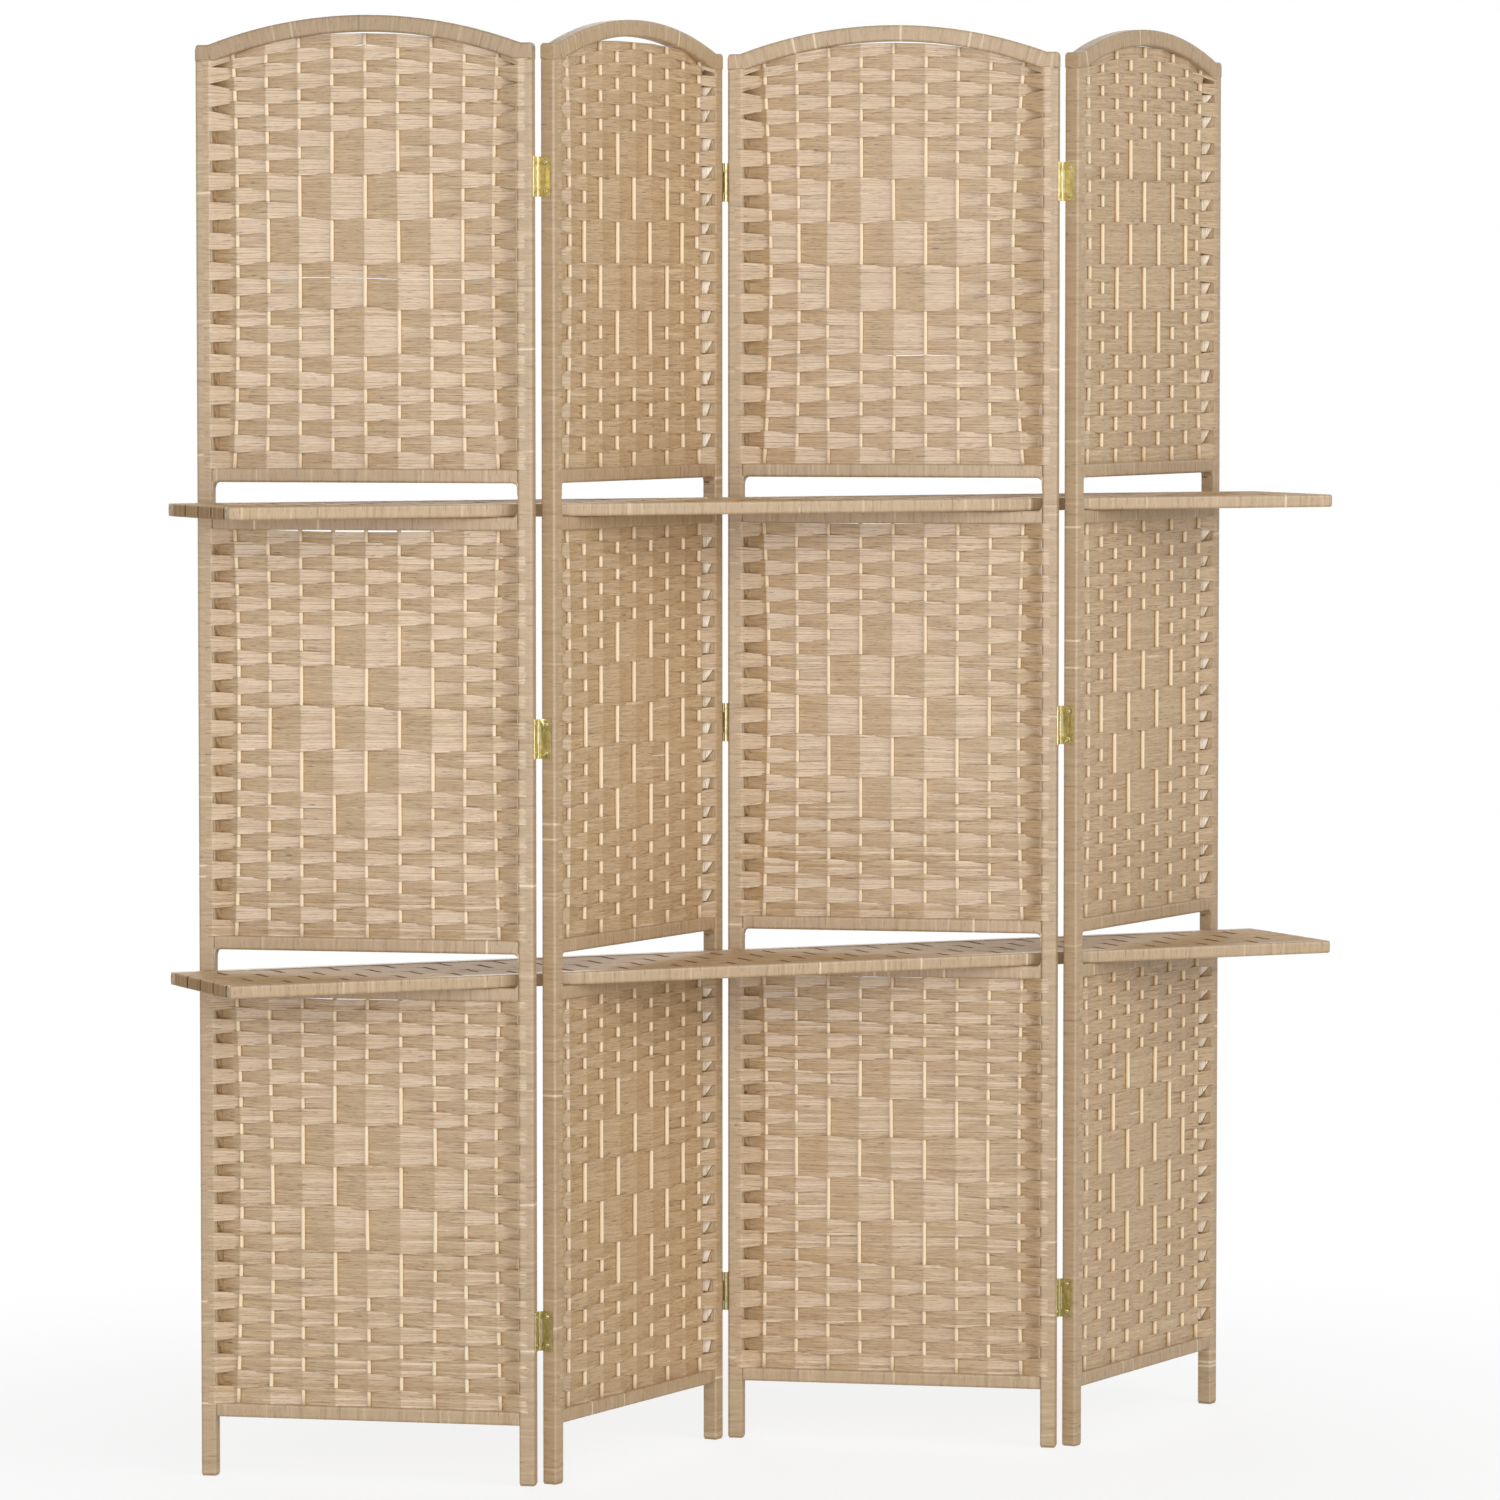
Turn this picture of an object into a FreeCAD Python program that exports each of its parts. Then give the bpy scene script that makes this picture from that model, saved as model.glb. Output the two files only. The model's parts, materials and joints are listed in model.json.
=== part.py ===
import FreeCAD, Part
import math
import os

Vec = FreeCAD.Vector

# Woven folding screen: four arched panels on hinges, with two shelves laid through slots in the panels.
# Millimetres. X runs along the row of panels, +Y points to the back and +Z up.
# The origin is on the floor under the middle of the row.

# Panel frame
panel_count = 4
panel_width = 400.0
frame_depth = 18.0
stile_face = 18.0
foot_height = 70.0
lower_mat_height = 477.0
middle_mat_height = 473.0
upper_mat_height = 470.0
rail_height = 16.0
rail_depth = 16.0
slot_height = 39.0
arch_bar_height = 19.0
arch_rise = 33.0
arch_corner_radius = 4.0
tenon_length = 6.5
tenon_thickness = 6.0
tenon_shoulder = 2.0

# Paper cord wound over wood with eased edges
wrap_thickness = 1.0
wood_edge_radius = 1.0
bare_foot = 2.0

# Stakes and woven bands
stake_count = 9
stake_edge_gap = 24.6
stake_diameter = 4.0
stake_seat = 5.0
stake_hole_clearance = 0.1
row_count = 29
band_thickness = 1.5
band_gap = 0.5
band_stake_clearance = 0.6
band_edge_margin = 0.4
arch_gap = 2.0
curved_row_share = 0.2
curved_row_power = 2.6
diamond_reach = 3
diamond_row_step = 3

# Fold
fold_angle = 36.4

# Hinges
hinge_from_top = 153.0
middle_hinge_from_top = 800.0
hinge_from_floor = 179.0
leaf_height = 46.0
leaf_width = 14.0
leaf_thickness = 1.2
leaf_gap = 1.0
end_knuckle = 10.0
knuckle_play = 0.4
knuckle_wall = 1.15
knuckle_clearance = 0.4
pin_diameter = 2.4
pin_radial_clearance = 0.05
screw_diameter = 2.6
screw_length = 11.0
screw_head_diameter = 5.4
screw_head_height = 1.1
screw_hole_clearance = 0.05
screw_inset = 6.5

# Shelves
shelf_overhang = 37.6
shelf_thickness = 15.0
shelf_side_clearance = 1.0
shelf_rail_width = 16.0
shelf_band_count = 4
shelf_band_gap = 1.0
shelf_stick_pitch = 35.0
shelf_stick_diameter = 2.0
shelf_stick_clearance = 0.2
shelf_deck_setback = 0.2

# Least cosine at which an edge counts as running along an axis
almost_one = 0.999

# Derived places
half_width = panel_width / 2
half_depth = frame_depth / 2
wrap_edge_radius = wood_edge_radius + wrap_thickness
stile_inner = half_width - stile_face
lower_rail = foot_height
lower_slot = lower_rail + rail_height + lower_mat_height + rail_height
middle_rail = lower_slot + slot_height
upper_slot = middle_rail + rail_height + middle_mat_height + rail_height
upper_rail = upper_slot + slot_height
arch_seat = upper_rail + rail_height + upper_mat_height
stile_top = arch_seat + arch_bar_height
stake_radius = stake_diameter / 2
stake_pitch = 2 * (stile_inner - stake_edge_gap) / (stake_count - 1)
wave_height = stake_radius + band_stake_clearance + band_thickness / 2
wave_flat = stake_radius + band_stake_clearance
band_end_offset = half_depth - wrap_edge_radius - band_thickness / 2 - band_edge_margin
pin_radius = pin_diameter / 2
knuckle_radius = pin_radius + pin_radial_clearance + knuckle_wall
pin_outset = leaf_thickness + leaf_gap / 2
pin_setback = knuckle_radius + knuckle_clearance
fold_cos = math.cos(math.radians(fold_angle))
fold_sin = math.sin(math.radians(fold_angle))
panel_pitch = 2 * ((half_width + pin_outset) * fold_cos + (half_depth + pin_setback) * fold_sin)
shelf_stick_radius = shelf_stick_diameter / 2
shelf_wave_flat = shelf_stick_radius + shelf_stick_clearance
shelf_wave_height = shelf_wave_flat + band_thickness / 2
shelf_length = panel_count * panel_pitch + 2 * shelf_overhang
shelf_half_depth = stile_inner * fold_sin - half_depth * fold_cos - shelf_side_clearance
hinge_centres = (hinge_from_floor, stile_top - middle_hinge_from_top, stile_top - hinge_from_top)
rail_bottoms = (
    lower_rail,
    lower_slot - rail_height,
    middle_rail,
    upper_slot - rail_height,
    upper_rail,
)


def block(x0, x1, y0, y1, z0, z1):
    low = Vec(min(x0, x1), min(y0, y1), min(z0, z1))
    return Part.makeBox(abs(x1 - x0), abs(y1 - y0), abs(z1 - z0), low)


def rounded_block(x0, x1, y0, y1, z0, z1, axis, radius):
    """A block whose four edges along one axis are rounded."""
    solid = block(x0, x1, y0, y1, z0, z1)
    edges = [e for e in solid.Edges if abs(e.tangentAt(e.FirstParameter).dot(axis)) > almost_one]
    return solid.makeFillet(radius, edges)


def cylinder(radius, height, base, axis):
    return Part.makeCylinder(radius, height, base, axis)


def cut_all(solid, tools):
    """The solid less every tool, as one plain solid."""
    tools = list(tools)
    if tools:
        solid = solid.cut(tools)
    return solid.Solids[0]


def face_from(edges):
    return Part.Face(Part.Wire(edges))


# Curved top rail
def arc_through_rise(end_x, end_z, rise):
    """Centre height and radius of the arc from (-end_x, end_z) over the middle to (end_x, end_z)."""
    radius = (end_x**2 + rise**2) / (2 * rise)
    return end_z + rise - radius, radius


outer_centre, outer_radius = arc_through_rise(stile_inner, stile_top, arch_rise)
inner_centre, inner_radius = arc_through_rise(stile_inner, arch_seat, arch_rise)


def arch_underside(x):
    return inner_centre + math.sqrt(inner_radius**2 - x**2)


def arch_bar(inset, depth):
    """The curved bar over the panel, drawn in by inset from its wound outside."""
    side = half_width - inset
    shoulder = stile_top - inset
    top_radius = outer_radius - inset
    under_radius = inner_radius + inset
    top_x = math.sqrt(top_radius**2 - (shoulder - outer_centre) ** 2)
    under_x = math.sqrt(under_radius**2 - (arch_seat - inner_centre) ** 2)
    corner = arch_corner_radius - inset
    bend = corner * (1 - math.sqrt(0.5))
    front = -depth / 2

    def at(x, z):
        return Vec(x, front, z)

    edges = [
        Part.LineSegment(at(-under_x, arch_seat), at(-side, arch_seat)).toShape(),
        Part.LineSegment(at(-side, arch_seat), at(-side, shoulder - corner)).toShape(),
        Part.Arc(
            at(-side, shoulder - corner), at(-side + bend, shoulder - bend), at(-side + corner, shoulder)
        ).toShape(),
        Part.LineSegment(at(-side + corner, shoulder), at(-top_x, shoulder)).toShape(),
        Part.Arc(at(-top_x, shoulder), at(0, outer_centre + top_radius), at(top_x, shoulder)).toShape(),
        Part.LineSegment(at(top_x, shoulder), at(side - corner, shoulder)).toShape(),
        Part.Arc(
            at(side - corner, shoulder), at(side - bend, shoulder - bend), at(side, shoulder - corner)
        ).toShape(),
        Part.LineSegment(at(side, shoulder - corner), at(side, arch_seat)).toShape(),
        Part.LineSegment(at(side, arch_seat), at(under_x, arch_seat)).toShape(),
        Part.Arc(at(under_x, arch_seat), at(0, inner_centre + under_radius), at(-under_x, arch_seat)).toShape(),
    ]
    return face_from(edges).extrude(Vec(0, depth, 0))


# Stakes
def stake_places():
    return [-stile_inner + stake_edge_gap + stake_pitch * j for j in range(stake_count)]


def stake_spans():
    """Every stake of a panel as its place across the panel and its lower and upper end."""
    spans = []
    for x in stake_places():
        spans.append((x, lower_rail + rail_height, lower_slot - rail_height))
        spans.append((x, middle_rail + rail_height, upper_slot - rail_height))
        spans.append((x, upper_rail + rail_height, arch_underside(x)))
    return spans


def stake_rods(radius):
    return [
        cylinder(radius, top - bottom + 2 * stake_seat, Vec(x, 0, bottom - stake_seat), Vec(0, 0, 1))
        for x, bottom, top in stake_spans()
    ]


# Frame pieces, one panel in its own frame: x across the panel, y to its back
def tenon_blocks():
    """The rail ends that pass the winding and sit in the stiles."""
    blocks = []
    reach = stile_inner + wrap_thickness + tenon_length
    for z in rail_bottoms:
        for side in (-1, 1):
            blocks.append(
                block(
                    side * stile_inner,
                    side * reach,
                    -tenon_thickness / 2,
                    tenon_thickness / 2,
                    z + wrap_thickness + tenon_shoulder,
                    z + rail_height - wrap_thickness - tenon_shoulder,
                )
            )
    return blocks


def stile_tenon(side):
    middle = side * (half_width - stile_face / 2)
    half = tenon_thickness / 2
    return block(middle - half, middle + half, -half, half, arch_seat, arch_seat + tenon_length)


def stile_core(side, screw_holes):
    outer = side * (half_width - wrap_thickness)
    inner = side * (stile_inner + wrap_thickness)
    depth = half_depth - wrap_thickness
    core = rounded_block(outer, inner, -depth, depth, 0, arch_seat, Vec(0, 0, 1), wood_edge_radius)
    core = core.fuse(stile_tenon(side)).removeSplitter()
    return cut_all(core, tenon_blocks() + screw_holes)


def stile_winding(side, screw_holes):
    outer = side * half_width
    inner = side * stile_inner
    sleeve = rounded_block(
        outer, inner, -half_depth, half_depth, bare_foot, arch_seat, Vec(0, 0, 1), wrap_edge_radius
    )
    depth = half_depth - wrap_thickness
    hollow = rounded_block(
        side * (half_width - wrap_thickness),
        side * (stile_inner + wrap_thickness),
        -depth,
        depth,
        0,
        arch_seat,
        Vec(0, 0, 1),
        wood_edge_radius,
    )
    return cut_all(sleeve, [hollow] + tenon_blocks() + screw_holes)


def rail_bar(z, inset):
    """A cross rail between the stiles, drawn in by inset from its wound outside."""
    depth = rail_depth / 2 - inset
    low = z + inset
    high = z + rail_height - inset
    radius = wrap_edge_radius - inset
    return rounded_block(-stile_inner, stile_inner, -depth, depth, low, high, Vec(1, 0, 0), radius)


def rail_cores(stake_holes):
    cores = []
    tenons = tenon_blocks()
    for index, z in enumerate(rail_bottoms):
        core = rail_bar(z, wrap_thickness).fuse(tenons[2 * index : 2 * index + 2]).removeSplitter()
        cores.append(cut_all(core, stake_holes))
    return cores


def rail_windings(stake_holes):
    return [cut_all(rail_bar(z, 0), [rail_bar(z, wrap_thickness)] + stake_holes) for z in rail_bottoms]


def arch_core(stake_holes):
    core = arch_bar(wrap_thickness, frame_depth - 2 * wrap_thickness)
    return cut_all(core, [stile_tenon(-1), stile_tenon(1)] + stake_holes)


def arch_winding(stake_holes):
    sleeve = arch_bar(0, frame_depth)
    return cut_all(sleeve, [arch_bar(wrap_thickness, frame_depth - 2 * wrap_thickness)] + stake_holes)


# Woven mats
def goes_behind(row, warp):
    """Whether a band passes behind a warp: plain weave, with a diamond of tall cells in the middle.

    Rows count from the top, warps from the left stile to the right stile.
    """
    behind = (row + warp) % 2 == 0
    middle_row = (row_count + 1) // 2
    middle_warp = (stake_count + 1) / 2
    courses = abs(row - middle_row) / diamond_row_step
    in_diamond = courses in range(diamond_reach) and abs(warp - middle_warp) <= diamond_reach - courses
    return behind != in_diamond


def band_line(row):
    """The bends of one band's middle line, as places across the panel and in depth."""
    points = []
    warps = [-stile_inner] + stake_places() + [stile_inner]
    for warp, x in enumerate(warps):
        turn = 1 if goes_behind(row, warp) else -1
        if abs(x) == stile_inner:
            points.append((x, turn * band_end_offset))
        else:
            points.append((x - wave_flat, turn * wave_height))
            points.append((x + wave_flat, turn * wave_height))
    return points


def straight_band(row, bottom, height):
    line = band_line(row)
    half = band_thickness / 2
    outline = [Vec(x, y - half, bottom) for x, y in line]
    outline += [Vec(x, y + half, bottom) for x, y in reversed(line)]
    outline.append(outline[0])
    return Part.Face(Part.makePolygon(outline)).extrude(Vec(0, 0, height))


def curved_band(row, lower_edge, upper_edge):
    """A band whose lower and upper edge are heights that change across the panel."""
    line = band_line(row)
    half = band_thickness / 2
    rings = []
    for x, y in line:
        low = lower_edge(x)
        high = upper_edge(x)
        rings.append([Vec(x, y - half, low), Vec(x, y + half, low), Vec(x, y + half, high), Vec(x, y - half, high)])
    loops = [rings[0], rings[-1]]
    for near, far in zip(rings, rings[1:]):
        for corner in range(4):
            after = (corner + 1) % 4
            loops.append([near[corner], near[after], far[after], far[corner]])
    faces = [Part.Face(Part.makePolygon(loop + [loop[0]])) for loop in loops]
    solid = Part.Solid(Part.Shell(faces))
    if solid.Volume < 0:
        solid.reverse()
    return solid


def straight_mat(bottom, height):
    pitch = height / row_count
    return [
        straight_band(row, bottom + (row_count - row) * pitch + band_gap / 2, pitch - band_gap)
        for row in range(1, row_count + 1)
    ]


def row_line(step, x):
    """Height of the line between two rows of the upper mat, counted from its lower rail.

    The lines are level until near the top, where they draw together at the stiles and follow the arch.
    """
    bottom = upper_rail + rail_height
    middle_height = upper_mat_height + arch_rise - arch_gap
    share = step / row_count
    curved = max(0.0, (share - (1 - curved_row_share)) / curved_row_share) ** curved_row_power
    drop = arch_underside(0) - arch_underside(x)
    return bottom + middle_height * share - drop * curved


def upper_mat():
    bands = []
    for row in range(1, row_count + 1):
        step = row_count - row

        def lower_edge(x, step=step):
            return row_line(step, x) + band_gap / 2

        def upper_edge(x, step=step):
            return row_line(step + 1, x) - band_gap / 2

        bands.append(curved_band(row, lower_edge, upper_edge))
    return bands


# Hinges
def knuckle_spans(has_ends):
    """Heights of the knuckles of one leaf: both ends, or the stretch between them."""
    top = leaf_height / 2
    if has_ends:
        return [(-top, -top + end_knuckle), (top - end_knuckle, top)]
    return [(-top + end_knuckle + knuckle_play, top - end_knuckle - knuckle_play)]


def hinge_leaf(side, back, height, has_ends):
    """One leaf on the edge of a stile, rolled round the pin at the panel's back (1) or front (-1)."""
    edge = side * half_width
    face = side * (half_width + leaf_thickness)
    rim = back * half_depth
    pin_x = side * (half_width + pin_outset)
    pin_y = back * (half_depth + pin_setback)
    plate = block(edge, face, rim, back * (half_depth - leaf_width), height - leaf_height / 2, height + leaf_height / 2)
    pieces = []
    for low, high in knuckle_spans(has_ends):
        pieces.append(block(edge, face, rim, pin_y, height + low, height + high))
        pieces.append(cylinder(knuckle_radius, high - low, Vec(pin_x, pin_y, height + low), Vec(0, 0, 1)))
    leaf = plate.fuse(pieces).removeSplitter()
    bore = cylinder(
        pin_radius + pin_radial_clearance,
        leaf_height,
        Vec(pin_x, pin_y, height - leaf_height / 2),
        Vec(0, 0, 1),
    )
    return cut_all(leaf, [bore] + screw_holes_at(side, back, height))


def hinge_pin(side, back, height):
    base = Vec(side * (half_width + pin_outset), back * (half_depth + pin_setback), height - leaf_height / 2)
    return cylinder(pin_radius, leaf_height, base, Vec(0, 0, 1))


def screw_spots(back, height):
    y = back * (half_depth - leaf_width / 2)
    reach = leaf_height / 2 - screw_inset
    return [(y, height - reach), (y, height + reach)]


def screw_holes_at(side, back, height):
    start = side * (half_width + leaf_thickness)
    radius = screw_diameter / 2 + screw_hole_clearance
    return [
        cylinder(radius, screw_length, Vec(start, y, z), Vec(-side, 0, 0)) for y, z in screw_spots(back, height)
    ]


def hinge_screw(side, y, z):
    """A round-headed screw standing on the leaf, with its shank in the stile."""
    seat = side * (half_width + leaf_thickness)
    shank = screw_diameter / 2
    rim = screw_head_diameter / 2
    dome_radius = (rim**2 + screw_head_height**2) / (2 * screw_head_height)
    half_turn = math.asin(rim / dome_radius) / 2
    dome_centre = screw_head_height - dome_radius

    def at(along, across):
        return Vec(seat + side * along, y + across, z)

    tip = at(-screw_length, 0)
    crown = at(screw_head_height, 0)
    shoulder = at(dome_centre + dome_radius * math.cos(half_turn), dome_radius * math.sin(half_turn))
    edges = [
        Part.LineSegment(crown, tip).toShape(),
        Part.LineSegment(tip, at(-screw_length, shank)).toShape(),
        Part.LineSegment(at(-screw_length, shank), at(0, shank)).toShape(),
        Part.LineSegment(at(0, shank), at(0, rim)).toShape(),
        Part.Arc(at(0, rim), shoulder, crown).toShape(),
    ]
    return face_from(edges).revolve(crown, Vec(1, 0, 0), 360)


# Which edges of each panel carry hinges: edge side, pin at the back (1) or front (-1), end knuckles or not
def panel_hinges(index):
    edges = []
    if index > 0:
        edges.append((-1, 1 if index % 2 == 1 else -1, True))
    if index < panel_count - 1:
        edges.append((1, 1 if index % 2 == 0 else -1, False))
    return edges


def panel_screw_holes(index, side):
    holes = []
    for edge, back, _ in panel_hinges(index):
        if edge == side:
            for height in hinge_centres:
                holes += screw_holes_at(edge, back, height)
    return holes


# Shelves
def shelf_sticks(radius):
    """Cross sticks under the deck, seated in the long rails."""
    count = shelf_stick_count()
    half_clear = shelf_half_depth - shelf_rail_width
    length = 2 * (half_clear + stake_seat)
    level = shelf_stick_level()
    return [
        cylinder(radius, length, Vec(shelf_stick_place(index, count), -length / 2, level), Vec(0, 1, 0))
        for index in range(count)
    ]


def shelf_inner_half():
    return shelf_length / 2 - shelf_rail_width


def shelf_stick_count():
    return int(round(2 * shelf_inner_half() / shelf_stick_pitch)) - 1


def shelf_stick_place(index, count):
    return -shelf_inner_half() + 2 * shelf_inner_half() * (index + 1) / (count + 1)


def shelf_stick_level():
    return shelf_thickness - shelf_deck_setback - band_thickness / 2 - shelf_wave_height


def shelf_tenons():
    """Ends of the two short rails, passing the winding into the long rails."""
    tenons = []
    half_clear = shelf_half_depth - shelf_rail_width
    reach = half_clear + wrap_thickness + tenon_length
    for end in (-1, 1):
        middle = end * (shelf_length / 2 - shelf_rail_width / 2)
        for side in (-1, 1):
            tenons.append(
                block(
                    middle - tenon_thickness / 2,
                    middle + tenon_thickness / 2,
                    side * half_clear,
                    side * reach,
                    wrap_thickness + tenon_shoulder,
                    shelf_thickness - wrap_thickness - tenon_shoulder,
                )
            )
    return tenons


def shelf_bars(inset):
    """Two long rails and two short rails, drawn in by inset from their wound outside."""
    half_length = shelf_length / 2
    half_clear = shelf_half_depth - shelf_rail_width
    low = inset
    high = shelf_thickness - inset
    bars = []
    for side in (-1, 1):
        near = side * (half_clear + inset)
        far = side * (shelf_half_depth - inset)
        bars.append((-half_length + inset, half_length - inset, near, far, low, high, Vec(1, 0, 0)))
    for end in (-1, 1):
        near = end * (half_length - shelf_rail_width + inset)
        far = end * (half_length - inset)
        bars.append((near, far, -half_clear, half_clear, low, high, Vec(0, 1, 0)))
    return bars


def shelf_frame():
    tenons = shelf_tenons()
    holes = shelf_sticks(shelf_stick_radius + stake_hole_clearance)
    pieces = []
    for index, (x0, x1, y0, y1, z0, z1, axis) in enumerate(shelf_bars(wrap_thickness)):
        bar = rounded_block(x0, x1, y0, y1, z0, z1, axis, wood_edge_radius)
        if index < 2:
            pieces.append(cut_all(bar, tenons + holes))
        else:
            own = tenons[2 * (index - 2) : 2 * (index - 2) + 2]
            pieces.append(bar.fuse(own).removeSplitter().Solids[0])
    return pieces


def shelf_winding():
    tenons = shelf_tenons()
    holes = shelf_sticks(shelf_stick_radius + stake_hole_clearance)
    pieces = []
    for outer, inner in zip(shelf_bars(0), shelf_bars(wrap_thickness)):
        sleeve = rounded_block(*outer, wrap_edge_radius)
        hollow = rounded_block(*inner, wood_edge_radius)
        pieces.append(cut_all(sleeve, [hollow] + tenons + holes))
    return pieces


def shelf_deck():
    """Wide bands along the shelf: over and under the sticks, then straight back along its underside."""
    count = shelf_stick_count()
    inner = shelf_inner_half()
    half_clear = shelf_half_depth - shelf_rail_width
    pitch = 2 * half_clear / shelf_band_count
    level = shelf_stick_level()
    half = band_thickness / 2
    bands = []
    for band in range(shelf_band_count):
        line = [(-inner, level)]
        for index in range(count):
            x = shelf_stick_place(index, count)
            turn = 1 if (index + band) % 2 == 0 else -1
            line.append((x - shelf_wave_flat, level + turn * shelf_wave_height))
            line.append((x + shelf_wave_flat, level + turn * shelf_wave_height))
        line.append((inner, level))
        front = -half_clear + band * pitch + shelf_band_gap / 2
        outline = [Vec(x, front, z - half) for x, z in line]
        outline += [Vec(x, front, z + half) for x, z in reversed(line)]
        outline.append(outline[0])
        width = pitch - shelf_band_gap
        bands.append(Part.Face(Part.makePolygon(outline)).extrude(Vec(0, width, 0)))
        underside = shelf_deck_setback + band_thickness
        bands.append(block(-inner, inner, front, front + width, shelf_deck_setback, underside))
    return bands


# Placing and writing
def panel_placement(index):
    """Panels stand in a zigzag: odd ones come forward to the right, even ones go back."""
    turn = -fold_angle if index % 2 == 0 else fold_angle
    middle = (index - (panel_count - 1) / 2) * panel_pitch
    return FreeCAD.Placement(Vec(middle, 0, 0), FreeCAD.Rotation(Vec(0, 0, 1), turn))


def write_node(name, solids, placement):
    shape = Part.makeCompound([solid.copy() for solid in solids])
    shape.Placement = placement
    shape.exportStep(os.path.join("parts", name + ".step"))


def write_panel(index, mats, stakes, shared):
    number = index + 1
    place = panel_placement(index)
    sides = {-1: "left", 1: "right"}
    windings = list(shared["windings"])
    for side, word in sides.items():
        holes = panel_screw_holes(index, side)
        write_node(f"{word}_stile_{number}", [stile_core(side, holes)], place)
        windings.append(stile_winding(side, holes))
    write_node(f"arched_rail_{number}", [shared["arch"]], place)
    write_node(f"cross_rails_{number}", shared["rails"], place)
    write_node(f"frame_winding_{number}", windings, place)
    write_node(f"stakes_{number}", stakes, place)
    for word, bands in mats.items():
        write_node(f"{word}_weave_{number}", bands, place)
    screws = []
    for side, back, has_ends in panel_hinges(index):
        line = index if side < 0 else index + 1
        leaves = [hinge_leaf(side, back, height, has_ends) for height in hinge_centres]
        word = "right" if side < 0 else "left"
        write_node(f"hinge_{line}_{word}_leaves", leaves, place)
        if side < 0:
            pins = [hinge_pin(side, back, height) for height in hinge_centres]
            write_node(f"hinge_{line}_pins", pins, place)
        for height in hinge_centres:
            screws += [hinge_screw(side, y, z) for y, z in screw_spots(back, height)]
    write_node(f"hinge_screws_{number}", screws, place)


def main():
    os.makedirs("parts", exist_ok=True)
    stake_holes = stake_rods(stake_radius + stake_hole_clearance)
    shared = {
        "arch": arch_core(stake_holes),
        "rails": rail_cores(stake_holes),
        "windings": [arch_winding(stake_holes)] + rail_windings(stake_holes),
    }
    mats = {
        "lower": straight_mat(lower_rail + rail_height, lower_mat_height),
        "middle": straight_mat(middle_rail + rail_height, middle_mat_height),
        "upper": upper_mat(),
    }
    stakes = stake_rods(stake_radius)
    for index in range(panel_count):
        write_panel(index, mats, stakes, shared)
    for word, level in (("lower", lower_slot), ("upper", upper_slot)):
        place = FreeCAD.Placement(Vec(0, 0, level), FreeCAD.Rotation())
        write_node(f"{word}_shelf_frame", shelf_frame(), place)
        write_node(f"{word}_shelf_winding", shelf_winding(), place)
        write_node(f"{word}_shelf_sticks", shelf_sticks(shelf_stick_radius), place)
        write_node(f"{word}_shelf_deck", shelf_deck(), place)


main()
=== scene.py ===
import bmesh
import bpy
import json
import math
import numpy as np
from functools import partial
from mathutils import Matrix, Vector

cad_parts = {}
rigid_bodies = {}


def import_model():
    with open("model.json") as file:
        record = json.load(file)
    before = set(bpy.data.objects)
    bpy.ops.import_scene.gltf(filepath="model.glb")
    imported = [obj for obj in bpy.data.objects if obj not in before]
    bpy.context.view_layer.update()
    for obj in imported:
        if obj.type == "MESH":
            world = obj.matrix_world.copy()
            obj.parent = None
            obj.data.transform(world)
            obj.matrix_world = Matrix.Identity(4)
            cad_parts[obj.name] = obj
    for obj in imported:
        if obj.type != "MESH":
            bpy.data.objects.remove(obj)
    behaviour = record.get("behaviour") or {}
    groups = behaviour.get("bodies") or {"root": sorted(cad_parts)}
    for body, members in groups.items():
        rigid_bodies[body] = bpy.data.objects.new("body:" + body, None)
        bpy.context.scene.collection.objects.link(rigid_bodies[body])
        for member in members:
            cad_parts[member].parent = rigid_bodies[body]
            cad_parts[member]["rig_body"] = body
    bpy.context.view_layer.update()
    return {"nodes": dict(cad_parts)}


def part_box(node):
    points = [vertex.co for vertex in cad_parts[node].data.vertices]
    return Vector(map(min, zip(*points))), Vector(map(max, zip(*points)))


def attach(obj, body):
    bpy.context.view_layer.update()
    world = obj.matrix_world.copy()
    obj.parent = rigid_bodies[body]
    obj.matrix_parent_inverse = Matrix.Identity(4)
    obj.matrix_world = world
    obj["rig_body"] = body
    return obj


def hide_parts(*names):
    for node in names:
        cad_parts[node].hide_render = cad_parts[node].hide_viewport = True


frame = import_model()

# Woven folding screen: paper cord wound on the frames and woven round upright stakes.
# Shapes are in millimetres, each panel or shelf in its own frame, and become metres in the mesh.
MM = 0.001
PANELS = (1, 2, 3, 4)
SHELVES = ("lower", "upper")
PANEL_SEED = 100
SHELF_SEED = 200

# Points of one node further apart than this belong to different pieces
PIECE_GAP = 10
SCREW_GAP = 3

# Every strand, turn and stick reads its noise at its own depth within this range
GRAIN_DEPTH = 500

# Paper strands of the weave
ROW_COUNT = 29
DIAMOND_REACH = 3
DIAMOND_ROW_STEP = 3
ROW_STRANDS = 6
STRAND_HALF = 0.5
STRAND_FLAT = 0.75
STRAND_OVERLAP = 1.2
STRAND_TILT = 0.075
STRAND_SHIFT = 0.12
STRAND_LIFT = 0.05
CREST = 2.75
SHOULDER = 2.66
SHOULDER_REACH = 1
ROW_OVERLAP = 0.5
ROW_PRESS = 0.7
END_PRESS = 1.2
TIGHT_PRESS = (5, 5, 5, 5, 2.9, 2.9, 0)
TIGHT_ENDS = {1: (0, -1), 2: (0,), 3: (0, -1), 4: (0,)}
END_COVER = 2
END_TONE = 0.7

# A row's end on a stile: how far past the inner face, and how far above the wound face
ROW_END = ((13, -0.95), (9, -0.5), (5, -0.15), (2, 0), (0, -0.35), (-3, -1.6))

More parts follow.
